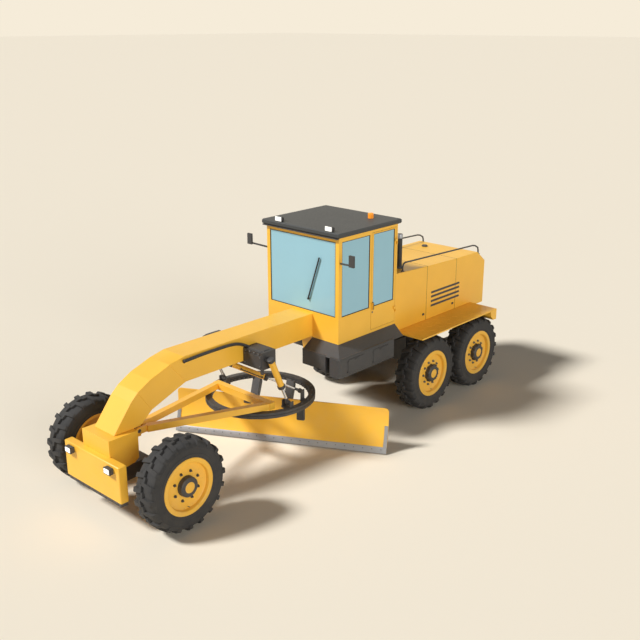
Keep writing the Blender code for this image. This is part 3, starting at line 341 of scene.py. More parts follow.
class Shape:
    """Closed solids gathered into one mesh piece.

    Attributes:
        origin: the machine's datum, which every point is moved by.
    """

    origin = Vector()

    def __init__(self, name: str, place: Matrix | None = None) -> None:
        """Start an empty shape.

        Args:
            name: the piece's name.
            place: where its own coordinates lie on the machine.
        """
        self.name = name
        self.place = place or Matrix.Identity(4)
        self.points: list[Vector] = []
        self.faces: list[tuple[int, ...]] = []

    def loft(self, rings: Sequence[Sequence[Point]], closed: bool = False) -> "Shape":
        """Skin equal rings of points.

        Args:
            rings: the rings, each with the same number of points.
            closed: joins the last ring to the first, else both ends are capped.

        Returns:
            This shape.
        """
        start, count = len(self.points), len(rings[0])
        for ring in rings:
            self.points += [self.place @ Vector(p) for p in ring]
        spans = len(rings) if closed else len(rings) - 1
        for k in range(spans):
            a, b = start + k * count, start + ((k + 1) % len(rings)) * count
            for i in range(count):
                j = (i + 1) % count
                self.faces.append((a + i, a + j, b + j, b + i))
        if not closed:
            last = start + (len(rings) - 1) * count
            self.faces.append(tuple(range(start, start + count))[::-1])
            self.faces.append(tuple(range(last, last + count)))
        return self

    def block(self, x: Span, y: Span, z: Span, chamfer: float = 0.004) -> "Shape":
        """Block with all its edges taken off.

        Args:
            x: low and high value across the machine.
            y: low and high value along it.
            z: low and high value up.
            chamfer: width of the chamfers.

        Returns:
            This shape.
        """
        c = min(chamfer, *((abs(s[1] - s[0]) * 0.45) for s in (x, y, z)))
        (x0, x1), (y0, y1), (z0, z1) = sorted(x), sorted(y), sorted(z)

        def outline(inset: float, level: float) -> list[Point]:
            """Rectangle with cut corners.

            Args:
                inset: how far it is drawn in.
                level: its height.

            Returns:
                Its eight points.
            """
            a, b, d, e = x0 + inset, x1 - inset, y0 + inset, y1 - inset
            return [(a + c, d, level), (b - c, d, level), (b, d + c, level), (b, e - c, level),
                    (b - c, e, level), (a + c, e, level), (a, e - c, level), (a, d + c, level)]

        return self.loft([outline(c, z0), outline(0.0, z0 + c), outline(0.0, z1 - c), outline(c, z1)])

    def rod(self, start: Point, end: Point, radius: float, seg: int = 24,
            tip: float = 0.2) -> "Shape":
        """Round bar with chamfered ends.

        Args:
            start: middle of its first end.
            end: middle of its last end.
            radius: its radius.
            seg: number of sides.
            tip: chamfer as a share of the radius.

        Returns:
            This shape.
        """
        a, b = Vector(start), Vector(end)
        length = (b - a).length
        cut = min(radius * tip, length * 0.3)
        turn = (b - a).to_track_quat("Z", "Y").to_matrix()
        stations = [(0.0, radius - cut), (cut, radius), (length - cut, radius), (length, radius - cut)]
        rings = [[a + turn @ Vector((r * math.cos(2 * math.pi * i / seg),
                                     r * math.sin(2 * math.pi * i / seg), at))
                  for i in range(seg)] for at, r in stations]
        return self.loft(rings)

    def turned(self, profile: Sequence[Span], centre: Point, axis: Point, seg: int = 48) -> "Shape":
        """Revolve a closed profile about an axis.

        Args:
            profile: points of radius and distance out along the axis.
            centre: where the axis starts.
            axis: its direction.
            seg: number of sides.

        Returns:
            This shape.
        """
        middle = Vector(centre)
        turn = Vector(axis).to_track_quat("Z", "Y").to_matrix()
        rings = []
        for k in range(seg):
            angle = 2 * math.pi * k / seg
            rings.append([middle + turn @ Vector((r * math.cos(angle), r * math.sin(angle), out))
                          for r, out in profile])
        return self.loft(rings, closed=True)

    def sweep(self, path: Sequence[Point], radius: float, seg: int = 12) -> "Shape":
        """Round pipe along a path, its turns smoothed by in-between points.

        Args:
            path: the points that it passes through.
            radius: its radius.
            seg: number of sides.

        Returns:
            This shape.
        """
        points = smooth_path(path)
        rings, side = [], None
        for i, point in enumerate(points):
            along = (points[min(i + 1, len(points) - 1)] - points[max(i - 1, 0)]).normalized()
            if side is None:
                side = along.orthogonal().normalized()
            side = (side - along * side.dot(along)).normalized()
            other = along.cross(side)
            rings.append([point + (side * math.cos(2 * math.pi * k / seg)
                                   + other * math.sin(2 * math.pi * k / seg)) * radius
                          for k in range(seg)])
        return self.loft(rings)

    def piece(self, coat: Coat, body: str, replaces: Iterable[str] = (), bevel: float = 0.0,
              smooth: float = 32.0) -> bpy.types.Object:
        """Turn the shape into a finished piece that rides on a body.

        Args:
            coat: the piece's finish.
            body: the CAD body that carries it.
            replaces: CAD nodes that it stands for.
            bevel: width of a Bevel modifier, or 0 for none.
            smooth: edges sharper than this many degrees stay crisp.

        Returns:
            The new object.
        """
        mesh = bpy.data.meshes.new(self.name)
        mesh.from_pydata([tuple(p + Shape.origin) for p in self.points], [], self.faces)
        build = bmesh.new()
        build.from_mesh(mesh)
        bmesh.ops.recalc_face_normals(build, faces=build.faces[:])
        build.to_mesh(mesh)
        build.free()
        mesh.shade_smooth()
        mesh.set_sharp_from_angle(angle=math.radians(smooth))
        mesh.materials.append(coat.material)
        obj = bpy.data.objects.new(self.name, mesh)
        bpy.context.scene.collection.objects.link(obj)
        if bevel:
            soften(obj, bevel)
        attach(obj, body)
        names = tuple(replaces)
        if names:
            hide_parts(*names)
        LOG.info("%s on %s, %d faces", self.name, body, len(self.faces))
        return obj


def soften(obj: bpy.types.Object, width: float) -> None:
    """Round an object's sharp edges by a Bevel modifier.

    Args:
        obj: the object.
        width: how wide the rounding is.
    """
    modifier = obj.modifiers.new("soft_edges", "BEVEL")
    modifier.width = width
    modifier.segments = 2
    modifier.limit_method = "ANGLE"
    modifier.angle_limit = math.radians(34)
    modifier.harden_normals = True


def smooth_path(path: Sequence[Point], steps: int = 6) -> list[Vector]:
    """Round a path's corners with a Catmull-Rom curve.

    Args:
        path: the points that it passes through.
        steps: points per span.

    Returns:
        The finer path.
    """
    points = [Vector(p) for p in path]
    padded = [points[0] * 2 - points[1], *points, points[-1] * 2 - points[-2]]
    fine = []
    for a, b, c, d in zip(padded, padded[1:], padded[2:], padded[3:]):
        for k in range(steps):
            t = k / steps
            fine.append(0.5 * (b * 2 + (c - a) * t + (a * 2 - b * 5 + c * 4 - d) * t ** 2
                               + (b * 3 - a - c * 3 + d) * t ** 3))
    fine.append(points[-1])
    return fine


def arc(centre: Span, radius: float, start: float, end: float, steps: int) -> list[Span]:
    """Points on an arc.

    Args:
        centre: its middle.
        radius: its radius.
        start: first angle, degrees.
        end: last angle, degrees.
        steps: number of spans.

    Returns:
        steps + 1 points.
    """
    angles = [math.radians(start + (end - start) * k / steps) for k in range(steps + 1)]
    return [(centre[0] + radius * math.cos(a), centre[1] + radius * math.sin(a)) for a in angles]


def on_circle(centre: Point, radius: float, count: int, phase: float = 0.0) -> list[tuple[float, Vector]]:
    """Angles and points of an even ring in the YZ plane, as on a wheel.

    Args:
        centre: its middle.
        radius: its radius.
        count: how many points it has.
        phase: angle of the first one, radians.

    Returns:
        One angle and point for each.
    """
    ring = []
    for k in range(count):
        angle = phase + 2 * math.pi * k / count
        ring.append((angle, Vector(centre) + Vector((0, math.sin(angle), math.cos(angle))) * radius))
    return ring


def hexagon(shape: Shape, centre: Point, along: Point, radius: float, height: float) -> None:
    """Add a chamfered hexagon bolt head.

    Args:
        shape: the shape that it joins.
        centre: middle of its foot.
        along: the way that it stands.
        radius: over its corners.
        height: how far it stands.
    """
    base = Vector(centre)
    shape.rod(base, base + Vector(along).normalized() * height, radius, 6, 0.14)


# -------------------------------------------------------------------- wheels
@dataclass
class Wheel:
    """One tyre with its tread, its rim, hub, studs and cap."""

    place: str
    side: str
    y: float
    radius: float = TYRE_RADIUS
    groove: float = 0.644
    width: float = 0.390
    bead: float = 0.405
    flange: float = 0.4215
    hub: float = 0.152
    cap: float = 0.080
    middle_x: float = 1.065
    lugs: int = 20

    @property
    def sign(self) -> float:
        """+1 on the left side, -1 on the right."""
        return SIDES[self.side]

    @property
    def centre(self) -> Vector:
        """Middle of the wheel."""
        return Vector((self.sign * self.middle_x, self.y, self.radius))

    @property
    def body(self) -> str:
        """Name of the CAD body that turns with the wheel."""
        return f"wheel_{self.place}_{self.side}"

    @property
    def label(self) -> str:
        """Part of the pieces' names that tells the wheels apart."""
        return f"{self.place}_{self.side}"

    def build(self) -> None:
        """Build and dress every piece of the wheel."""
        self._tyre()
        self._rim()
        self._hub()

    def _crown(self, across: float) -> float:
        """Radius of the tread's top.

        Args:
            across: distance from the tyre's middle plane.

        Returns:
            The radius there.
        """
        share = abs(across) / (self.width / 2)
        return self.radius - 0.022 * share ** 3

    def _tyre(self) -> None:
        """Carcass with its sidewall rings, and the lugs around it."""
        shape = Shape(f"tyre_tread_{self.label}")
        half = self.width / 2
        right = [(self.bead, half - 0.030), (self.bead + 0.012, half - 0.012),
                 (self.bead + 0.030, half - 0.010), (self.bead + 0.040, half - 0.004),
                 (self.bead + 0.075, half), (self.bead + 0.082, half - 0.005),
                 (self.bead + 0.150, half - 0.006), (self.bead + 0.160, half - 0.001),
                 (self.groove - 0.058, half - 0.004), (self.groove - 0.026, half - 0.022),
                 (self.groove - 0.006, half - 0.056), (self.groove, half - 0.095)]
        profile = right + [(r, -out) for r, out in reversed(right)]
        shape.turned(profile, self.centre, (self.sign, 0, 0), 64)
        for k in range(self.lugs):
            for hand in (1.0, -1.0):
                turn = 2 * math.pi * (k + (0.5 if hand < 0 else 0.0)) / self.lugs
                self._lug(shape, turn, hand)
        shape.piece(Coat.RUBBER, self.body, [f"tyre_{self.label}"], smooth=28.0)

    def _at(self, across: float, turn: float, radius: float) -> Point:
        """Point on the tyre.

        Args:
            across: distance from its middle plane.
            turn: angle round it, radians.
            radius: distance from its axle.

        Returns:
            The point.
        """
        return (self.centre.x + across, self.centre.y + radius * math.sin(turn),
                self.centre.z + radius * math.cos(turn))

    def _lug(self, shape: Shape, turn: float, hand: float) -> None:
        """One hooked bar from the sidewall to near the tread's middle.

        Args:
            shape: the tyre's shape.
            turn: its place round the tyre, radians.
            hand: +1 on the tyre's outer half for the left side, -1 on the other.
        """
        half = self.width / 2
        lean = 0.35 * self.sign
        deep = self.groove - 0.012
        stations = [(half, self.radius - 0.046, self.radius - 0.100, 0.029),
                    (half - 0.016, self.radius - 0.024, self.radius - 0.080, 0.032),
                    (half - 0.045, self._crown(half - 0.045), deep, 0.034),
                    (0.050, self._crown(0.050), deep, 0.029),
                    (-0.006, self._crown(0.0) - 0.001, deep, 0.025)]
        rings = []
        for across, top, base, wide in stations:
            shift = lean * (half - across) / self.radius * 0.5
            rings.append([self._at(hand * across, turn + shift - wide / self.radius * 1.10, base),
                          self._at(hand * across, turn + shift - wide / self.radius, top),
                          self._at(hand * across, turn + shift + wide / self.radius, top),
                          self._at(hand * across, turn + shift + wide / self.radius * 1.10, base)])
        shape.loft(rings)
        start = lean * half / self.radius * 0.5
        hook = []
        for step, wide in ((0.020, 0.024), (0.075, 0.020), (0.095, 0.012)):
            angle = turn + start + self.sign * step / self.radius
            hook.append([self._at(hand * (0.022 - wide), angle, deep),
                         self._at(hand * (0.022 - wide), angle, self._crown(0.02) - 0.002),
                         self._at(hand * (0.022 + wide), angle, self._crown(0.04) - 0.002),
                         self._at(hand * (0.022 + wide), angle, deep)])
        shape.loft(hook)

    def _rim(self) -> None:
        """Rim with a rolled flange, a drop inside and a dished disc."""
        shape = Shape(f"rim_disc_{self.label}")
        wall, half = self.bead - 0.022, self.width / 2 - 0.005
        edge = half - 0.022
        profile = [(0.052, 0.094), (0.052, 0.122), (self.hub, 0.122), (self.hub + 0.030, 0.126),
                   (0.250, 0.118), (0.330, 0.122), (0.346, 0.132), (0.350, half - 0.012),
                   (0.358, half - 0.002), (0.366, half), (self.flange - 0.006, half),
                   (self.flange, half - 0.006), (self.flange, edge), (self.bead - 0.0006, edge),
                   (self.bead - 0.0006, -edge), (self.flange, -edge), (self.flange, -half),
                   (wall, -half), (wall, 0.088)]
        shape.turned(profile, self.centre, (self.sign, 0, 0), 64)
        shape.piece(Coat.RIM, self.body, [f"rim_{self.label}"], smooth=38.0)

    def _hub(self) -> None:
        """Dark hub with notches, its yellow cap, and the wheel studs."""
        axis = Vector((self.sign, 0, 0))
        hub = Shape(f"hub_{self.label}")
        hub.turned([(0.056, 0.118), (0.056, 0.206), (self.hub - 0.022, 0.206), (self.hub - 0.008, 0.194),
                    (self.hub, 0.118)], self.centre, axis, 40)
        if self.place != "front":
            for angle, point in on_circle(self.centre + axis * 0.140, self.hub - 0.004, 10):
                out = Vector((0, math.sin(angle), math.cos(angle)))
                hub.rod(point - axis * 0.018, point + axis * 0.052, 0.020, 10, 0.2)
                hub.rod(point, point + out * 0.018, 0.012, 8, 0.2)
        else:
            for _, point in on_circle(self.centre + axis * 0.204, self.hub * 0.74, 8, 0.3):
                hexagon(hub, point, axis, 0.008, 0.006)
        hub.piece(Coat.DARK, self.body)
        cap = Shape(f"hub_cap_{self.label}")
        cap.turned([(0.002, 0.172), (0.002, 0.218), (0.030, 0.219), (self.cap - 0.018, 0.213),
                    (self.cap, 0.206), (self.cap, 0.172)], self.centre, axis, 32)
        for _, point in on_circle(self.centre + axis * 0.214, 0.050, 3, 0.5):
            hexagon(cap, point, axis, 0.009, 0.005)
        cap.piece(Coat.RIM, self.body)
        studs = Shape(f"studs_{self.label}")
        count = 8 if self.place == "front" else 10
        for _, point in on_circle(self.centre + axis * 0.114, 0.215, count, math.pi / count):
            hexagon(studs, point, axis, 0.023, 0.024)
            studs.rod(point + axis * 0.020, point + axis * 0.042, 0.012, 10, 0.2)
        studs.piece(Coat.DARK if self.place == "front" else Coat.BOLT, self.body)
        valve = Shape(f"valve_{self.label}")
        foot = self.centre + axis * 0.134 + Vector((0, 0, -0.318))
        valve.rod(foot, foot + axis * 0.042 + Vector((0, 0, 0.010)), 0.006, 10, 0.2)
        valve.piece(Coat.BOLT, self.body)


# ----------------------------------------------------------------- front end
@dataclass
class FrontEnd:
    """Push plate with its strip and lamps, and the kingpins' caps."""

    plate_half: float = 0.6535
    plate_y: Span = (-2.402, -2.268)
    plate_z: Span = (0.467, 1.019)
    strip_h: float = 0.060
    lamp_x: float = 0.470
    lamp_w: float = 0.140
    lamp_z: Span = (0.890, 0.985)
    lamp_front: float = -2.4800
    kingpin: float = 1.060
    pin_half: float = 0.150
    axle_y: float = AXLES["front"]
    axle_z: float = TYRE_RADIUS

    def build(self) -> None:
        """Build and dress the front end."""
        plate = Shape("push_plate")
        plate.block((-self.plate_half, self.plate_half), self.plate_y, self.plate_z, 0.010)
        plate.piece(Coat.BODY, "frame", ["front_plate"])
        strip = Shape("push_strip")
        low = self.plate_z[0] - self.strip_h
        strip.block((-self.plate_half + 0.020, self.plate_half - 0.020),
                    (self.plate_y[0] + 0.012, self.plate_y[1] - 0.002), (low, self.plate_z[0] - 0.001), 0.008)
        for k in range(9):
            x = -0.560 + 0.140 * k
            hexagon(strip, (x, self.plate_y[0] + 0.013, low + 0.030), (0, -1, 0), 0.011, 0.008)
        strip.piece(Coat.DARK, "frame")
        for side, sign in SIDES.items():
            self._lamp(side, sign * self.lamp_x)
            self._kingpin(side, sign)

    def _lamp(self, side: str, x: float) -> None:
        """Headlamp shell with a raised rim and a glowing face.

        Args:
            side: left or right.
            x: the lamp's middle.
        """
        half = self.lamp_w / 2
        shell = Shape(f"headlamp_shell_{side}")
        back = self.plate_y[0] - 0.0003
        z0, z1 = self.lamp_z
        shell.block((x - half, x + half), (self.lamp_front + 0.020, back), self.lamp_z, 0.008)
        for zs in ((z0, z0 + 0.010), (z1 - 0.010, z1)):
            shell.block((x - half, x + half), (self.lamp_front + 0.006, self.lamp_front + 0.030), zs, 0.003)
        for xs in ((x - half, x - half + 0.010), (x + half - 0.010, x + half)):
            shell.block(xs, (self.lamp_front + 0.006, self.lamp_front + 0.030), self.lamp_z, 0.003)
        shell.piece(Coat.DARK, "frame", [f"headlamp_{side}"])
        lens = Shape(f"headlamp_lens_{side}")
        lens.block((x - half + 0.012, x + half - 0.012), (self.lamp_front, self.lamp_front + 0.022),
                   (z0 + 0.012, z1 - 0.012), 0.006)
        lens.piece(Coat.LAMP, "frame")

    def _kingpin(self, side: str, sign: float) -> None:
        """Grease caps over and under the kingpin.

        Args:
            side: left or right.
            sign: +1 on the left, -1 on the right.
        """
        caps = Shape(f"kingpin_caps_{side}")
        x = sign * self.kingpin
        for way in (1.0, -1.0):
            z = self.axle_z + way * self.pin_half
            caps.rod((x, self.axle_y, z), (x, self.axle_y, z + way * 0.020), 0.034, 20, 0.25)
            hexagon(caps, (x, self.axle_y, z + way * 0.019), (0, 0, way), 0.010, 0.010)
        caps.piece(Coat.BOLT, "frame")


# ----------------------------------------------------------------- gooseneck
@dataclass
class Gooseneck:
    """Hydraulic pipes and weld beads of the curved beam."""

    half: float = 0.2334
    pipe: float = 0.024
    left_run: tuple[Point, ...] = ((0.262, -0.893, 2.020), (0.262, -0.700, 2.028), (0.262, -0.516, 2.034),
                                   (0.262, -0.125, 2.034), (0.262, 0.076, 2.020), (0.264, 0.200, 1.988),
                                   (0.275, 0.300, 1.940), (0.290, 0.345, 1.912))
    right_run: tuple[Point, ...] = ((-0.262, -0.353, 2.020), (-0.262, -0.200, 2.030), (-0.262, -0.055, 2.040),
                                    (-0.262, 0.109, 2.030), (-0.264, 0.231, 1.990), (-0.280, 0.340, 1.912))
    seams: tuple[tuple[Span, Span], ...] = (((-1.140, 2.030), (-0.865, 1.685)),
                                            ((-1.718, 1.780), (-1.496, 1.445)))

    def build(self) -> None:
        """Build and dress the beam's details."""
        for side, run in (("left", self.left_run), ("right", self.right_run)):
            pipes = Shape(f"beam_pipe_{side}")
            pipes.sweep(run, self.pipe)
            pipes.rod(Vector(run[0]) - Vector((0, 0.020, 0)), run[0], self.pipe + 0.004, 16, 0.3)
            pipes.piece(Coat.HOSE, "frame")
        welds = Shape("beam_welds")
        for sign in (-1.0, 1.0):
            for (y0, z0), (y1, z1) in self.seams:
                x = sign * self.half
                welds.rod((x, y0, z0 - 0.006), (x, y1, z1 + 0.006), 0.004, 8, 0.4)
        welds.piece(Coat.BODY, "frame")


# ------------------------------------------------------- drawbar and circle
@dataclass
class BladeGear:
    """The circle's teeth and front leg, and the blade with its edge and end bits."""

    ring_y: float = 0.835
    ring_in: float = 0.800
    yaw: float = math.radians(28.6)
    length: float = 3.660
    middle: float = 0.265
    thick: float = 0.022
    profile: tuple[Span, ...] = ((0.105, 0.105), (0.175, 0.220), (0.222, 0.350),
                                 (0.242, 0.480), (0.246, 0.610), (0.238, 0.740))
    reach: float = 0.1410
    bend: float = 1.92
    corner: float = 0.060
    teeth: int = 64
    guide_bolts: int = 28
    edge_bolts: int = 24
    rails: Span = (0.330, 0.600)
    rail_back: float = 0.325
    edge_low: float = 0.0201
    edge_top: float = 0.1120

    @property
    def place(self) -> Matrix:
        """Blade coordinates: along it, behind the ring's centre, and up."""
        return Matrix.Translation((0, self.ring_y, 0)) @ Matrix.Rotation(self.yaw, 4, "Z")

    @property
    def ends(self) -> Span:
        """Where the blade starts and ends, along it."""
        return self.middle - self.length / 2, self.middle + self.length / 2

    def build(self) -> None:
        """Build and dress the circle and the blade."""
        self._ring_teeth()
        self._legs()
        self._moldboard()
        self._edge()

    def _depth(self, z: float) -> float:
        """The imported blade's front face.

        Args:
            z: height on the blade.

        Returns:
            How far the face lies behind the ring's centre.
        """
        points = self.profile
        for (a, z0), (b, z1) in zip(points, points[1:]):
            if z <= z1:
                return a + (b - a) * (z - z0) / (z1 - z0)
        return points[-1][0]

    def _ring_teeth(self) -> None:
        """Gear teeth on the inside of the circle, and bolts on the ring that guides it."""
        teeth = Shape("circle_teeth")
        for k in range(self.teeth):
            angle = 2 * math.pi * k / self.teeth
            place = Matrix.Translation((0, self.ring_y, 0)) @ Matrix.Rotation(angle, 4, "Z")
            teeth.place = place
            teeth.loft([[(self.ring_in + 0.001, -0.022, z), (self.ring_in - 0.018, -0.010, z),
                         (self.ring_in - 0.018, 0.010, z), (self.ring_in + 0.001, 0.022, z)]
                        for z in (0.850, 0.884)])
        teeth.piece(Coat.BOLT, "circle")
        bolts = Shape("guide_bolts")
        for k in range(self.guide_bolts):
            angle = 2 * math.pi * (k + 0.5) / self.guide_bolts
            x, y = 0.850 * math.cos(angle), self.ring_y + 0.850 * math.sin(angle)
            if y > 0.54 and not (abs(abs(x) - 0.745) < 0.13 and abs(y - 0.717) < 0.09):
                hexagon(bolts, (x, y, 0.9368), (0, 0, 1), 0.014, 0.010)
        bolts.piece(Coat.BOLT, "drawbar")

    def _legs(self) -> None:
        """The circle's front leg, the dark pad on the blade and the tip pins' caps."""
        leg = Shape("circle_leg", self.place)
        s, n = 0.740, -0.210
        leg.block((s - 0.065, s + 0.065), (n - 0.030, n + 0.030), (0.600, 0.8455), 0.010)
        leg.block((s - 0.080, s + 0.080), (n - 0.045, n + 0.045), (0.820, 0.8455), 0.006)
        leg.piece(Coat.DARK, "circle")
        face = self._depth(0.625)
        pad = Shape("blade_pad", self.place)
        pad.block((-0.365, -0.235), (face - 0.050, face + 0.004), (0.600, 0.652), 0.008)
        pad.piece(Coat.DARK, "blade")
        caps = Shape("tip_pin_caps", self.place)
        for s in (-0.417, 0.417):
            way = math.copysign(1.0, s)
            caps.rod((s - way * 0.004, 0.470, 0.480), (s + way * 0.014, 0.470, 0.480), 0.044, 20, 0.2)
            caps.rod((s + way * 0.010, 0.470, 0.480), (s + way * 0.022, 0.470, 0.480), 0.018, 6, 0.2)
        caps.piece(Coat.BOLT, "blade_carrier")

    def _outline(self, top: float) -> list[Span]:
        """The blade's section: front face up, back face down.

        Args:
            top: its upper edge.

        Returns:
            Points of distance back and height.
        """
        low = self.profile[0][1]
        steps = [low + (top - low) * k / 10 for k in range(11)]
        front = [(self._curve(z), z) for z in steps]
        return front + [(n + self.thick, z) for n, z in reversed(front)]

    def _curve(self, z: float) -> float:
        """A smooth curve through the blade's front face.

        Args:
            z: height on the blade.

        Returns:
            How far the face lies behind the ring's centre.
        """
        low, high = self.profile[0][1], self.profile[-1][1]
        share = min(1.0, max(0.0, (z - low) / (high - low)))
        return self.profile[0][0] + self.reach * math.sin(share ** 0.86 * self.bend)

    def _moldboard(self) -> None:
        """Curved blade with rounded upper corners, and its slide rails."""
        blade = Shape("blade_face", self.place)
        start, end = self.ends
        top, r = self.profile[-1][1], self.corner
        stations = []
        for k in range(7):
            turn = math.pi / 2 * k / 6
            stations.append((start + r * (1 - math.sin(turn)), top - r * (1 - math.cos(turn))))
        stations = list(reversed(stations))
        mirror = [(start + end - s, z) for s, z in reversed(stations)]
        rings = []
        for s, z in stations + mirror:
            rings.append([(s, n, level) for n, level in self._outline(z)])
        blade.loft(rings)
        back = self.rail_back
        neck = back - 0.020
        for z in self.rails:
            root = self._curve(z) + self.thick / 2
            section = [(root, z - 0.009), (neck, z - 0.009), (neck, z - 0.025), (back, z - 0.025),
                       (back, z + 0.025), (neck, z + 0.025), (neck, z + 0.009), (root, z + 0.009)]
            blade.loft([[(s, n, level) for n, level in section] for s in (start + 0.30, end - 0.30)])
        root = self._curve(0.420) + self.thick - 0.004
        section = [(root, 0.200), (root + 0.045, 0.300), (root + 0.045, 0.640), (root, 0.720)]
        for s in (start + 0.16, start + 0.72, 1.000, end - 0.16):
            blade.loft([[(at, n, z) for n, z in section] for at in (s - 0.010, s + 0.010)])
        blade.piece(Coat.BODY, "blade", ["moldboard"], bevel=0.003, smooth=24.0)

    def _edge(self) -> None:
        """Cutting edge with its ploughbolts, and the steel end bits."""
        start, end = self.ends
        bolts = Shape("edge_bolts", self.place)
        for k in range(self.edge_bolts):
            s = start + 0.09 + (end - start - 0.18) * k / (self.edge_bolts - 1)
            bolts.rod((s, 0.0840, 0.0740), (s, 0.0770, 0.0790), 0.010, 12, 0.3)
        bolts.piece(Coat.BOLT, "blade")
        edge = Shape("steel_edge", self.place)
        low, top = self.edge_low, self.edge_top
        edge.loft([[(s, 0.0600, low), (s, 0.0680, low), (s, 0.1260, top), (s, 0.1060, top),
                    (s, 0.0900, top - 0.016)] for s in (start + 0.002, end - 0.002)])
        edge.piece(Coat.EDGE, "blade", ["cutting_edge"])
        bits = Shape("end_bits", self.place)
        for at, way in ((start, -1.0), (end, 1.0)):
            levels = [0.110 + (0.440 - 0.110) * k / 6 for k in range(7)]
            front = [(self._curve(z) - 0.012, z) for z in levels]
            section = front + [(self._curve(z) + 0.002, z) for z in reversed(levels)]
            bits.loft([[(s, n, z) for n, z in section]
                       for s in sorted((at - way * 0.060, at - way * 0.002))])
            for z in (0.200, 0.300, 0.390):
                bits.rod((at - way * 0.031, self._curve(z) - 0.011, z),
                         (at - way * 0.031, self._curve(z) - 0.018, z), 0.011, 12, 0.3)
        bits.piece(Coat.EDGE, "blade")


# ---------------------------------------------------------------- cylinders
@dataclass
class Cylinder:
    """Gland ring, base cap, port hose and rod eye of one hydraulic cylinder."""

    name: str
    top: Point
    eye: Point
    radius: float
    rod_radius: float
    barrel: float
    eye_half: float

    @property
    def along(self) -> Vector:
        """Unit vector from the barrel's pin to the rod's eye."""
        return (Vector(self.eye) - Vector(self.top)).normalized()

    def build(self) -> None:
        """Build and dress the cylinder's details."""
        top, eye, along = Vector(self.top), Vector(self.eye), self.along
        nose = top + along * self.barrel
        r = self.radius
        gland = Shape(f"{self.name}_gland")
        gland.turned([(self.rod_radius + 0.003, -0.055), (self.rod_radius + 0.003, 0.010), (r - 0.008, 0.010),
                      (r + 0.006, 0.002), (r + 0.0095, -0.006), (r + 0.0095, -0.046), (r + 0.004, -0.055)],
                     nose, along, 32)
        gland.piece(Coat.DARK, f"{self.name}_barrel")
        cap = Shape(f"{self.name}_base")
        base = top - along * (r * 0.6)
        cap.turned([(0.002, -0.004), (0.002, 0.050), (r + 0.003, 0.050), (r + 0.003, 0.000),
                    (r - 0.006, -0.004)],
                   base, along, 32)
        side = along.cross(Vector((0, 0, 1)) if abs(along.z) < 0.9 else Vector((0, -1, 0))).normalized()
        for at in (0.170, self.barrel - 0.090):
            port = top + along * at + side * (r - 0.004)
            cap.rod(port, port + side * 0.022, 0.014, 12, 0.2)
        cap.piece(Coat.DARK, f"{self.name}_barrel")
        pipe = Shape(f"{self.name}_port_pipe")
        out = side * (r + 0.010)
        pipe.sweep([top + along * 0.170 + out, top + along * 0.210 + out * 1.10,
                    top + along * (self.barrel / 2) + out * 1.10,
                    top + along * (self.barrel - 0.130) + out * 1.10,
                    top + along * (self.barrel - 0.090) + out], 0.008, 10)
        pipe.piece(Coat.DARK, f"{self.name}_barrel")
        ball = Shape(f"{self.name}_rod_eye")
        half = self.eye_half
        cross = Vector((1, 0, 0))
        ball.turned([(0.004, -half), (0.004, half), (0.022, half), (0.036, half * 0.6), (0.040, 0.0),
                     (0.036, -half * 0.6), (0.022, -half)], eye, cross, 24)
        ball.rod(eye - along * 0.090, eye - along * 0.020, self.rod_radius + 0.006, 20, 0.2)
        ball.piece(Coat.DARK, f"{self.name}_rod")


@dataclass
class Saddle:
    """Bolted plates and small fittings of the lift saddle."""

    half: float = 0.656
    beam_half: float = 0.2334
    y: Span = (0.271, 0.556)
    z: Span = (1.635, 1.915)

    def build(self) -> None:
        """Build and dress the saddle's details."""
        fittings = Shape("saddle_fittings")
        plates = Shape("saddle_plates")
        for sign in (-1.0, 1.0):
            x0, x1 = sorted((sign * (self.beam_half + 0.020), sign * (self.half - 0.020)))
            front, rear = self.y
            plates.block((x0, x1), (front - 0.008, front + 0.004),
                         (self.z[0] + 0.030, self.z[1] - 0.050), 0.004)
            plates.block((x0 + 0.03, x1 - 0.03), (front + 0.03, rear - 0.03),
                         (self.z[1] - 0.004, self.z[1] + 0.010), 0.004)
            plates.block(sorted((sign * (self.half - 0.060), sign * (self.half - 0.010))),
                         (self.y[0] + 0.010, self.y[0] + 0.050), (1.555, 1.640), 0.006)
            for k in range(4):
                x = x0 + 0.05 + (x1 - x0 - 0.10) * k / 3
                z = self.z[1] - 0.026
                fittings.rod((x, front - 0.006, z), (x, front - 0.022, z), 0.012, 12, 0.25)
            for x in (x0 + 0.028, x1 - 0.028):
                for z in (self.z[0] + 0.056, self.z[1] - 0.080):
                    hexagon(fittings, (x, self.y[0] - 0.007, z), (0, -1, 0), 0.013, 0.008)
                for y in (self.y[0] + 0.070, self.y[1] - 0.070):
                    hexagon(fittings, (x, y, self.z[1] + 0.000), (0, 0, 1), 0.013, 0.008)
        plates.piece(Coat.DARK, "frame")
        fittings.piece(Coat.BOLT, "frame")


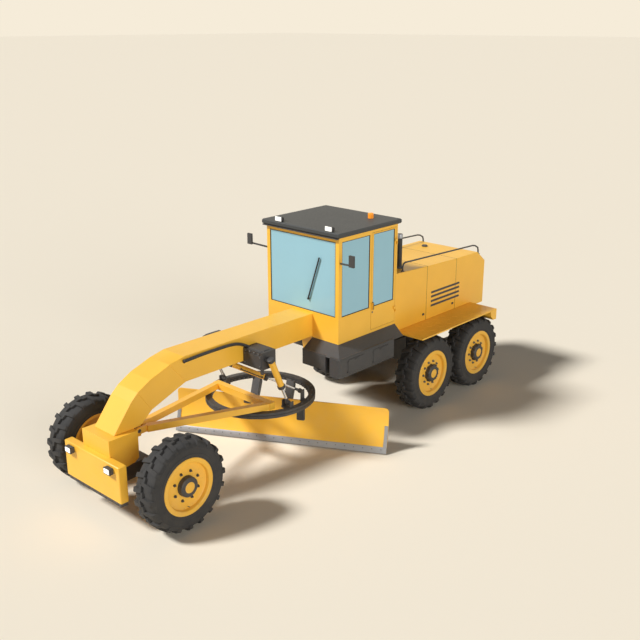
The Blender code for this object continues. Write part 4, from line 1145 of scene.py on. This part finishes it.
# ----------------------------------------------------------------------- cab
@dataclass
class Cab:
    """Seals, wiper, lamps, beacon, handles, mirrors and seat of the cab."""

    half: float = 0.8114
    front: float = 1.833
    back: float = 3.335
    glass_z: Span = (2.122, 3.374)
    wind_half: float = 0.740
    side_glass: Span = (1.912, 2.607)
    door_y: Span = (2.652, 3.298)
    door_z: Span = (1.722, 3.400)
    door_glass: Span = (2.700, 3.255)
    rear_glass: tuple[float, float, float] = (0.600, 2.680, 3.340)
    roof_top: float = 3.535
    slab_z: float = 3.458
    shell_top: float = 3.4199
    roof_half: float = 0.871
    roof_y: Span = (1.763, 3.372)
    lamp_x: tuple[float, float] = (-0.500, 0.620)
    beacon: Point = (0.455, 3.040)
    handle_y: float = 2.690
    mirror_x: float = 1.150

    def build(self) -> None:
        """Build and dress the cab."""
        self._seals()
        self._wiper()
        self._roof()
        self._doors()
        self._mirrors()
        self._seat()

    @staticmethod
    def _frame(shape: Shape, axis: str, level: Span, u: Span, v: Span, wide: float) -> None:
        """Four thin bars around a window.

        Args:
            shape: the shape that they join.
            axis: y for a front or rear window, x for a side one.
            level: the bars' low and high value along that axis.
            u: the window's low and high value across.
            v: its low and high value up.
            wide: the bars' width.
        """
        between = (v[0] + wide, v[1] - wide)
        spans = [(u, (v[0], v[0] + wide)), (u, (v[1] - wide, v[1])),
                 ((u[0], u[0] + wide), between), ((u[1] - wide, u[1]), between)]
        for across, up in spans:
            if axis == "y":
                shape.block(across, level, up, 0.002)
            else:
                shape.block(level, across, up, 0.002)

    def _seals(self) -> None:
        """Rubber seals in the window openings that don't move."""
        seals = Shape("window_seals")
        self._frame(seals, "y", (self.front + 0.004, self.front + 0.0115), (-self.wind_half, self.wind_half),
                    self.glass_z, 0.012)
        self._frame(seals, "y", (self.back - 0.0115, self.back - 0.004),
                    (-self.rear_glass[0], self.rear_glass[0]), self.rear_glass[1:], 0.014)
        for sign in (-1.0, 1.0):
            level = tuple(sorted((sign * (self.half - 0.0115), sign * (self.half - 0.004))))
            self._frame(seals, "x", level, self.side_glass, self.glass_z, 0.012)
        seals.piece(Coat.SEAL, "frame")

    def _wiper(self) -> None:
        """Windscreen wiper: motor cap, arm and blade."""
        wiper = Shape("windscreen_wiper")
        y = self.front + 0.002
        foot, tip = Vector((0.150, y - 0.014, 2.330)), Vector((0.400, y - 0.014, 3.070))
        wiper.rod((foot.x, y + 0.008, foot.z), (foot.x, y - 0.024, foot.z), 0.020, 16, 0.25)
        wiper.rod(foot, tip, 0.013, 10, 0.3)
        wiper.rod(foot.lerp(tip, 0.06) + Vector((0, -0.012, 0)), foot.lerp(tip, 0.50), 0.007, 8, 0.3)
        wiper.piece(Coat.SEAL, "frame")

    def _roof(self) -> None:
        """Roof slab over its band, visor strip, lamps and beacon."""
        slab = Shape("roof_slab")
        slab.block((-self.roof_half, self.roof_half), self.roof_y, (self.slab_z, self.roof_top), 0.016)
        slab.piece(Coat.ROOF, "frame", ["cab_roof"])
        band = Shape("roof_band")
        band.block((-self.half, self.half), (self.front, self.back),
                   (self.shell_top, self.slab_z + 0.001), 0.001)
        band.piece(Coat.BODY, "frame")
        visor = Shape("roof_visor")
        visor.block((-self.half - 0.048, self.half + 0.010), (self.roof_y[0] + 0.006, self.front + 0.002),
                    (self.slab_z - 0.026, self.slab_z - 0.008), 0.005)
        visor.piece(Coat.DARK, "frame")
        for k, x in enumerate(self.lamp_x):
            shell = Shape(f"roof_lamp_shell_{k + 1}")
            shell.block((x - 0.068, x + 0.068), (1.798, 1.880), (self.roof_top - 0.001, 3.612), 0.014)
            shell.piece(Coat.DARK, "frame")
            face = Shape(f"roof_lamp_face_{k + 1}")
            face.block((x - 0.070, x + 0.070), (1.788, 1.802), (self.roof_top + 0.006, 3.615), 0.005)
            face.piece(Coat.LAMP, "frame")
        bx, by = self.beacon
        dome = arc((0.0300, 0.0715), 0.0180, 0, 84, 5)
        lens = Shape("beacon_lens")
        lens.turned([(0.002, -0.001), (0.0480, -0.001), *dome, (0.002, 0.0896)],
                    (bx, by, self.roof_top), (0, 0, 1), 32)
        lens.piece(Coat.AMBER, "frame")

    def _doors(self) -> None:
        """Seals, handles and locks on both doors, and the dark gaps around them."""
        for side, sign in SIDES.items():
            body = f"door_{side}"
            seal = Shape(f"door_seal_{side}")
            level = tuple(sorted((sign * (self.half - 0.0115), sign * (self.half - 0.004))))
            self._frame(seal, "x", level, self.door_glass, self.glass_z, 0.011)
            seal.piece(Coat.SEAL, body)
            handle = Shape(f"door_handle_{side}")
            x = sign * (self.half + 0.028)
            root, y = sign * (self.half + 0.002), self.handle_y
            handle.sweep([(root, y, 2.205), (x, y, 2.190), (x, y, 2.120), (x, y, 2.090), (root, y, 2.075)],
                         0.009, 10)
            handle.piece(Coat.DARK, body)
            lock = Shape(f"door_lock_{side}")
            lock.rod((sign * (self.half - 0.001), y, 2.030),
                     (sign * (self.half + 0.008), y, 2.030), 0.016, 16, 0.3)
            lock.piece(Coat.BOLT, body)
            gap = Shape(f"door_gap_{side}")
            inner = tuple(sorted((sign * (self.half - 0.030), sign * (self.half - 0.006))))
            self._frame(gap, "x", inner, (self.door_y[0] + 0.0004, self.door_y[1] - 0.0004),
                        (self.door_z[0] + 0.0004, self.door_z[1] - 0.0004), 0.0050)
            gap.piece(Coat.SEAL, "frame")

    def _mirrors(self) -> None:
        """Mirror glasses and rounded mirror backs."""
        for side, sign in SIDES.items():
            x = sign * self.mirror_x
            back = Shape(f"mirror_shell_{side}")
            back.block((x - 0.0512, x + 0.0512), (1.7345, 1.7715), (3.0545, 3.2412), 0.010)
            back.piece(Coat.DARK, "frame")
            glass = Shape(f"mirror_glass_{side}")
            glass.block((x - 0.042, x + 0.042), (1.7700, 1.7740), (3.066, 3.230), 0.003)
            glass.piece(Coat.MIRROR, "frame")

    def _seat(self) -> None:
        """Padded seat cushion and backrest over the operator station."""
        for name, centre, size, tilt in (("seat_cushion", (0.0, 2.890, 2.205), (0.255, 0.235, 0.045), 0.0),
                                         ("seat_back", (0.0, 3.140, 2.490), (0.235, 0.045, 0.330), -0.14)):
            pad = self._pad(name, Vector(centre), Vector(size), tilt)

    def _pad(self, name: str, centre: Vector, size: Vector, tilt: float) -> bpy.types.Object:
        """A crowned cushion with drawn-in sides and sewn channels.

        Args:
            name: the cushion's name.
            centre: its middle.
            size: half its size each way.
            tilt: how far it leans, radians.

        Returns:
            The cushion.
        """
        place = Matrix.Translation(centre) @ Matrix.Rotation(tilt, 4, "X")
        shape = Shape(name, place)
        thin = min(range(3), key=lambda i: size[i])
        u, v = [i for i in range(3) if i != thin]
        rows, columns = 16, 32
        rings = []
        for k in range(rows + 1):
            share = -1.0 + 2.0 * k / rows
            lift = math.copysign(abs(share) ** 0.7, share)
            reach = (1.0 - abs(share) ** 3.0) ** 0.34 if abs(share) < 1 else 0.02
            ring = []
            for i in range(columns):
                angle = 2 * math.pi * i / columns
                c, s = math.cos(angle), math.sin(angle)
                square = 1.0 / max(abs(c), abs(s)) ** 0.82
                point = [0.0, 0.0, 0.0]
                point[u] = c * square * size[u] * reach
                point[v] = s * square * size[v] * reach
                channel = 0.10 * math.cos(3.0 * math.pi * point[u] / size[u]) * (1.0 - abs(share))
                point[thin] = lift * size[thin] * (1.0 + channel)
                ring.append(tuple(point))
            rings.append(ring)
        shape.loft(rings)
        return shape.piece(Coat.SEAT, "frame", smooth=60.0)


# ------------------------------------------------------------------ rear end
@dataclass
class RearEnd:
    """Hood panels, louvres, grille, stack, deck, rails and tandem details."""

    half: float = 0.7018
    top: tuple[Span, ...] = ((3.345, 2.523), (4.370, 2.476), (5.320, 2.438), (6.030, 2.434), (6.295, 2.227))
    base: float = 1.450
    tail: float = 6.295
    seams: tuple[float, float] = (4.387, 5.313)
    louvre_y: Span = (4.530, 5.430)
    louvre_z: tuple[float, ...] = (1.942, 1.862, 1.773, 1.688)
    stack: tuple[float, float, float, float] = (0.440, 3.880, 0.048, 3.117)
    rail_x: float = 0.660
    rail_feet: Span = (3.700, 6.100)
    tandem_x: float = 0.850

    def build(self) -> None:
        """Build and dress the rear of the machine."""
        self._seam_lines()
        self._louvres()
        self._grille()
        self._stack()
        self._deck()
        self._tandem()
        self._cab_boxes()

    def _top_at(self, y: float) -> float:
        """Height of the hood's top.

        Args:
            y: place along the machine.

        Returns:
            The height there.
        """
        for (y0, z0), (y1, z1) in zip(self.top, self.top[1:]):
            if y <= y1:
                return z0 + (z1 - z0) * (y - y0) / (y1 - y0)
        return self.top[-1][1]

    def _seam_lines(self) -> None:
        """Panel seams of the hood, its latches, and the facet beside the stack."""
        seams = Shape("hood_seams")
        for y in self.seams:
            z = self._top_at(y)
            seams.block((-self.half, self.half), (y - 0.004, y + 0.004), (z - 0.004, z + SKIN), 0.001)
            for sign in (-1.0, 1.0):
                seams.block(sorted((sign * (self.half - 0.004), sign * (self.half + SKIN))),
                            (y - 0.004, y + 0.004), (self.base + 0.004, z - 0.001), 0.001)
        seams.piece(Coat.SEAM, "frame")
        latches = Shape("hood_latches")
        for sign in (-1.0, 1.0):
            for y in (4.300, 5.230):
                latches.block(sorted((sign * self.half, sign * (self.half + 0.012))), (y - 0.028, y + 0.028),
                              (1.560, 1.600), 0.004)
                latches.block(sorted((sign * (self.half + 0.010), sign * (self.half + 0.020))),
                              (y - 0.018, y + 0.018), (1.572, 1.588), 0.004)
        latches.piece(Coat.DARK, "frame")
        facet = Shape("stack_facet")
        y0, y1 = 3.352, 3.720
        x = self.half + SKIN
        facet.loft([[(self.half - 0.170, y0, 2.5235), (x, y0, 2.5235), (x, y0, 2.4100)],
                    [(self.half - 0.010, y1, 2.5070), (x, y1, 2.5070), (x, y1, 2.4990)]])
        facet.piece(Coat.BODY, "frame", smooth=10.0)

    def _louvres(self) -> None:
        """Four dark louvres with raised lips on each side."""
        for side, sign in SIDES.items():
            slots = Shape(f"hood_louvres_{side}")
            lips = Shape(f"louvre_lips_{side}")
            for z in self.louvre_z:
                slots.block(sorted((sign * (self.half - 0.003), sign * (self.half + SKIN))), self.louvre_y,
                            (z - 0.018, z + 0.014), 0.001)
                a, b = sign * self.half, sign * (self.half + 0.014)
                y0, y1 = self.louvre_y
                lips.loft([[(a, y, z + 0.024), (a, y, z + 0.010), (b, y, z - 0.006), (b, y, z + 0.000)]
                           for y in (y0, y1)])
            slots.piece(Coat.GRILLE, "frame")
            lips.piece(Coat.DARK, "frame", smooth=10.0)

    def _grille(self) -> None:
        """Radiator grille with its slats, tail lamps and filler cap."""
        grille = Shape("rear_grille")
        y = self.tail
        grille.block((-0.520, 0.520), (y - 0.006, y + SKIN), (1.520, 2.130), 0.001)
        grille.piece(Coat.GRILLE, "frame")
        slats = Shape("grille_slats")
        for k in range(11):
            z = 1.550 + 0.055 * k
            slats.loft([[(x, y, z + 0.014), (x, y, z - 0.004),
                         (x, y + 0.008, z - 0.010), (x, y + 0.008, z - 0.004)]
                        for x in (-0.515, 0.515)])
        for x in (-0.520, 0.0, 0.520):
            slats.block((x - 0.010, x + 0.010), (y - 0.002, y + 0.009), (1.520, 2.130), 0.003)
        slats.piece(Coat.DARK, "frame", smooth=10.0)
        lamps = Shape("tail_lamps")
        rims = Shape("tail_lamp_rims")
        for sign in (-1.0, 1.0):
            x = sign * 0.610
            lamps.block((x - 0.036, x + 0.036), (y - 0.002, y + 0.008), (1.560, 1.680), 0.006)
            rims.block((x - 0.046, x + 0.046), (y - 0.004, y + 0.005), (1.550, 1.690), 0.004)
        lamps.piece(Coat.RED, "frame")
        rims.piece(Coat.DARK, "frame")
        cap = Shape("filler_cap")
        z = self._top_at(5.700)
        cap.turned([(0.002, -0.006), (0.002, 0.030), (0.046, 0.030), (0.056, 0.022), (0.058, -0.006)],
                   (-0.330, 5.700, z), (0, 0, 1), 28)
        cap.piece(Coat.DARK, "frame")

    def _stack(self) -> None:
        """Stack collar, grey end cap, and a dark disc over the mouth as painted shade."""
        x, y, r, top = self.stack
        foot = self._top_at(y)
        collar = Shape("stack_collar")
        collar.turned([(r + 0.001, -0.010), (r + 0.001, 0.034), (r + 0.010, 0.034), (r + 0.034, 0.010),
                       (r + 0.034, -0.010)], (x, y, foot), (0, 0, 1), 32)
        collar.piece(Coat.DARK, "frame")
        cap = Shape("stack_cap")
        cap.turned([(r - 0.010, -0.073), (r - 0.010, -0.004), (r - 0.004, -0.0002), (r + 0.001, -0.0002),
                    (r + 0.003, -0.004), (r + 0.003, -0.073)], (x, y, top), (0, 0, 1), 32)
        cap.piece(Coat.EDGE, "frame")
        # painted shade: a dark disc closes the stack's mouth and stands in for the shade inside the open pipe
        shade = Shape("stack_mouth")
        shade.turned([(0.001, -0.012), (0.001, 0.0004), (r - 0.011, 0.0004), (r - 0.011, -0.012)],
                     (x, y, top), (0, 0, 1), 24)
        shade.piece(Coat.SEAL, "frame")

    def _deck(self) -> None:
        """Tread bars on the deck, tow bracket with its pin, and the rails' feet."""
        tread = Shape("deck_tread")
        draw = random.Random(7)
        for sign in (-1.0, 1.0):
            for row in range(17):
                for column in range(3):
                    y = 3.600 + row * 0.132
                    x = sign * (0.820 + column * 0.165)
                    lean = 0.030 if (row + column) % 2 else -0.030
                    high = 1.4530 + draw.random() * 0.0004
                    tread.loft([[(x - 0.030, y - lean - 0.006, z), (x + 0.030, y + lean - 0.006, z),
                                 (x + 0.030, y + lean + 0.006, z), (x - 0.030, y - lean + 0.006, z)]
                                for z in (1.4490, high)])
        tread.piece(Coat.BODY, "frame", smooth=10.0)
        tow = Shape("tow_bracket")
        tow.block((-0.110, 0.110), (5.6690, 5.760), (1.130, 1.170), 0.008)
        tow.block((-0.110, 0.110), (5.6690, 5.760), (1.220, 1.2385), 0.006)
        tow.rod((0, 5.725, 1.110), (0, 5.725, 1.2395), 0.018, 16, 0.3)
        tow.piece(Coat.DARK, "frame")
        feet = Shape("rail_feet")
        for sign in (-1.0, 1.0):
            for y in self.rail_feet:
                z = self._top_at(y)
                feet.turned([(0.0155, -0.006), (0.0155, 0.016), (0.022, 0.016), (0.034, 0.006),
                             (0.034, -0.006)], (sign * self.rail_x, y, z), (0, 0, 1), 20)
        feet.piece(Coat.DARK, "frame")

    def _tandem(self) -> None:
        """Cover plates with bolt rings on the tandem cases."""
        y = (AXLES["mid"] + AXLES["rear"]) / 2
        covers = Shape("tandem_covers")
        bolts = Shape("tandem_bolts")
        for sign in (-1.0, 1.0):
            x = sign * self.tandem_x
            covers.turned([(0.002, -0.010), (0.002, 0.0075), (0.150, 0.0075), (0.160, 0.000),
                           (0.160, -0.010)], (x, y, TYRE_RADIUS), (sign, 0, 0), 40)
            for _, point in on_circle((x + sign * 0.007, y, TYRE_RADIUS), 0.132, 12):
                hexagon(bolts, point, (sign, 0, 0), 0.010, 0.006)
        covers.piece(Coat.DARK, "frame")
        bolts.piece(Coat.BOLT, "frame")

    def _cab_boxes(self) -> None:
        """Hinged covers with latches on the boxes under the cab."""
        boxes = Shape("box_fittings")
        for y in (2.000, 2.640):
            boxes.block((1.0548, 1.062), (y - 0.200, y + 0.200), (1.240, 1.480), 0.004)
            boxes.block((1.060, 1.072), (y - 0.030, y + 0.030), (1.440, 1.462), 0.004)
            for z in (1.270, 1.440):
                boxes.rod((1.062, y - 0.215, z), (1.062, y - 0.185, z), 0.008, 10, 0.2)
        boxes.piece(Coat.DARK, "frame")


# ---------------------------------------------------------------- CAD finish
CARRIED_OVER: dict[Coat, tuple[str, ...]] = {
    Coat.BODY: ("gooseneck_beam", "front_bolster", "cab_shell", "door_left", "door_right",
                "rear_deck", "hood", "drawbar", "lift_left_barrel", "lift_right_barrel", "shift_barrel"),
    Coat.DARK: ("front_axle", "knuckle_left", "knuckle_right", "tie_rod", "lift_saddle", "drawbar_swivel",
                "circle_guide", "circle", "blade_carrier", "lift_left_yoke", "lift_right_yoke", "shift_yoke",
                "mirror_left", "mirror_right", "rear_frame", "tandem_axle", "operator_station",
                "handrail_left", "handrail_right"),
    Coat.GLASS: ("windshield", "rear_window", "side_window_left", "side_window_right", "door_glass_left",
                 "door_glass_right"),
    Coat.CHROME: ("lift_left_rod", "lift_right_rod", "shift_rod"),
    Coat.PIPE: ("exhaust_stack",),
    Coat.IRON: ("engine_block",),
}
SOFTENED: dict[str, float] = {"gooseneck_beam": 0.008, "front_bolster": 0.006, "cab_shell": 0.006,
                              "rear_deck": 0.005, "hood": 0.012, "rear_frame": 0.006}


def dress_nodes(nodes: dict[str, bpy.types.Object]) -> None:
    """Give every CAD node that still shows its finish and softer edges.

    Args:
        nodes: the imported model's objects by name.
    """
    for coat, names in CARRIED_OVER.items():
        for name in names:
            obj = nodes[name]
            obj.data.materials.clear()
            obj.data.materials.append(coat.material)
            if name in SOFTENED:
                weld = obj.modifiers.new("join_points", "WELD")
                weld.merge_threshold = 0.00005
                soften(obj, SOFTENED[name])
            LOG.info("%s finished as %s", name, coat.value.name)


# -------------------------------------------------------------------- studio
@dataclass
class Studio:
    """Floor, backdrop, lights and camera."""

    floor_colour: Colour = field(default_factory=lambda: linear(246, 236, 217))
    floor_half: float = 400.0
    camera_at: Point = (9.8191, -8.3734, 6.6691)
    camera_turn: Point = (math.pi / 2 - 0.32375, 0.0, 0.74496)
    lens: float = 50.0
    key_from: Point = (-0.40, -0.585, 0.705)
    key: float = 3.45
    fill_from: Point = (0.93, -0.22, 0.26)
    fill: float = 1.32
    sky: float = 0.06

    def build(self) -> None:
        """Set up the whole studio."""
        self._floor()
        self._sky()
        self._sun("key_light", self.key_from, self.key, 11.0)
        self._sun("fill_light", self.fill_from, self.fill, 30.0)
        self._camera()
        bpy.context.scene.view_settings.view_transform = "Standard"

    def _floor(self) -> None:
        """A wide pale floor that ends beyond the view."""
        mesh = bpy.data.meshes.new("studio_floor")
        far = self.floor_half
        mesh.from_pydata([(-far, -far, 0), (far, -far, 0), (far, far, 0), (-far, far, 0)], [], [(0, 1, 2, 3)])
        material = bpy.data.materials.new("studio_floor")
        material.use_nodes = True
        shader = material.node_tree.nodes["Principled BSDF"]
        shader.inputs["Base Color"].default_value = (*self.floor_colour, 1.0)
        shader.inputs["Roughness"].default_value = 1.0
        shader.inputs["Specular IOR Level"].default_value = 0.0
        mesh.materials.append(material)
        floor = bpy.data.objects.new("studio_floor", mesh)
        bpy.context.scene.collection.objects.link(floor)

    def _sky(self) -> None:
        """Soft light all round, with the floor's colour behind the machine."""
        world = bpy.data.worlds.new("studio")
        world.use_nodes = True
        bpy.context.scene.world = world
        tree = world.node_tree
        soft = tree.nodes["Background"]
        soft.inputs["Color"].default_value = (1.0, 0.985, 0.96, 1.0)
        soft.inputs["Strength"].default_value = self.sky
        seen = tree.nodes.new("ShaderNodeBackground")
        seen.inputs["Color"].default_value = (*self.floor_colour, 1.0)
        seen.inputs["Strength"].default_value = 1.0
        rays = tree.nodes.new("ShaderNodeLightPath")
        either = tree.nodes.new("ShaderNodeMath")
        either.operation = "MAXIMUM"
        tree.links.new(rays.outputs["Is Camera Ray"], either.inputs[0])
        tree.links.new(rays.outputs["Is Glossy Ray"], either.inputs[1])
        blend = tree.nodes.new("ShaderNodeMixShader")
        tree.links.new(either.outputs["Value"], blend.inputs["Fac"])
        tree.links.new(soft.outputs["Background"], blend.inputs[1])
        tree.links.new(seen.outputs["Background"], blend.inputs[2])
        tree.links.new(blend.outputs["Shader"], tree.nodes["World Output"].inputs["Surface"])

    @staticmethod
    def _sun(name: str, source: Point, strength: float, spread: float) -> None:
        """A far light.

        Args:
            name: its name.
            source: the direction that it comes from.
            strength: its power.
            spread: its width in degrees, which softens its shadows.
        """
        light = bpy.data.lights.new(name, "SUN")
        light.energy = strength
        light.angle = math.radians(spread)
        lamp = bpy.data.objects.new(name, light)
        lamp.rotation_euler = Vector(source).to_track_quat("Z", "Y").to_euler()
        lamp.location = Vector(source) * 20.0
        bpy.context.scene.collection.objects.link(lamp)

    def _camera(self) -> None:
        """The camera, in front and to the left of the machine."""
        data = bpy.data.cameras.new("camera")
        data.lens = self.lens
        data.sensor_width = 36.0
        data.clip_end = 2000.0
        camera = bpy.data.objects.new("camera", data)
        camera.location = Vector(self.camera_at) + Shape.origin
        camera.rotation_euler = self.camera_turn
        bpy.context.scene.collection.objects.link(camera)
        bpy.context.scene.camera = camera


def main() -> None:
    """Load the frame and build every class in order."""
    logging.basicConfig(level=logging.INFO, format="%(name)s: %(message)s")
    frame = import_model()
    Shape.origin = datum()
    Studio().build()
    for place, y in AXLES.items():
        for side in SIDES:
            Wheel(place, side, y).build()
    FrontEnd().build()
    Gooseneck().build()
    BladeGear().build()
    Saddle().build()
    for side, sign in SIDES.items():
        Cylinder(f"lift_{side}", top=(sign * 0.755, 0.360, 1.800), eye=(sign * 0.745, 0.717, 1.000),
                 radius=0.052, rod_radius=0.024, barrel=0.560, eye_half=0.050).build()
    Cylinder("shift", top=(-0.130, 0.340, 1.520), eye=(0.660, 1.080, 1.060),
             radius=0.045, rod_radius=0.016, barrel=0.620, eye_half=0.032).build()
    Cab().build()
    RearEnd().build()
    dress_nodes(frame["nodes"])


if __name__ == "__main__":
    main()
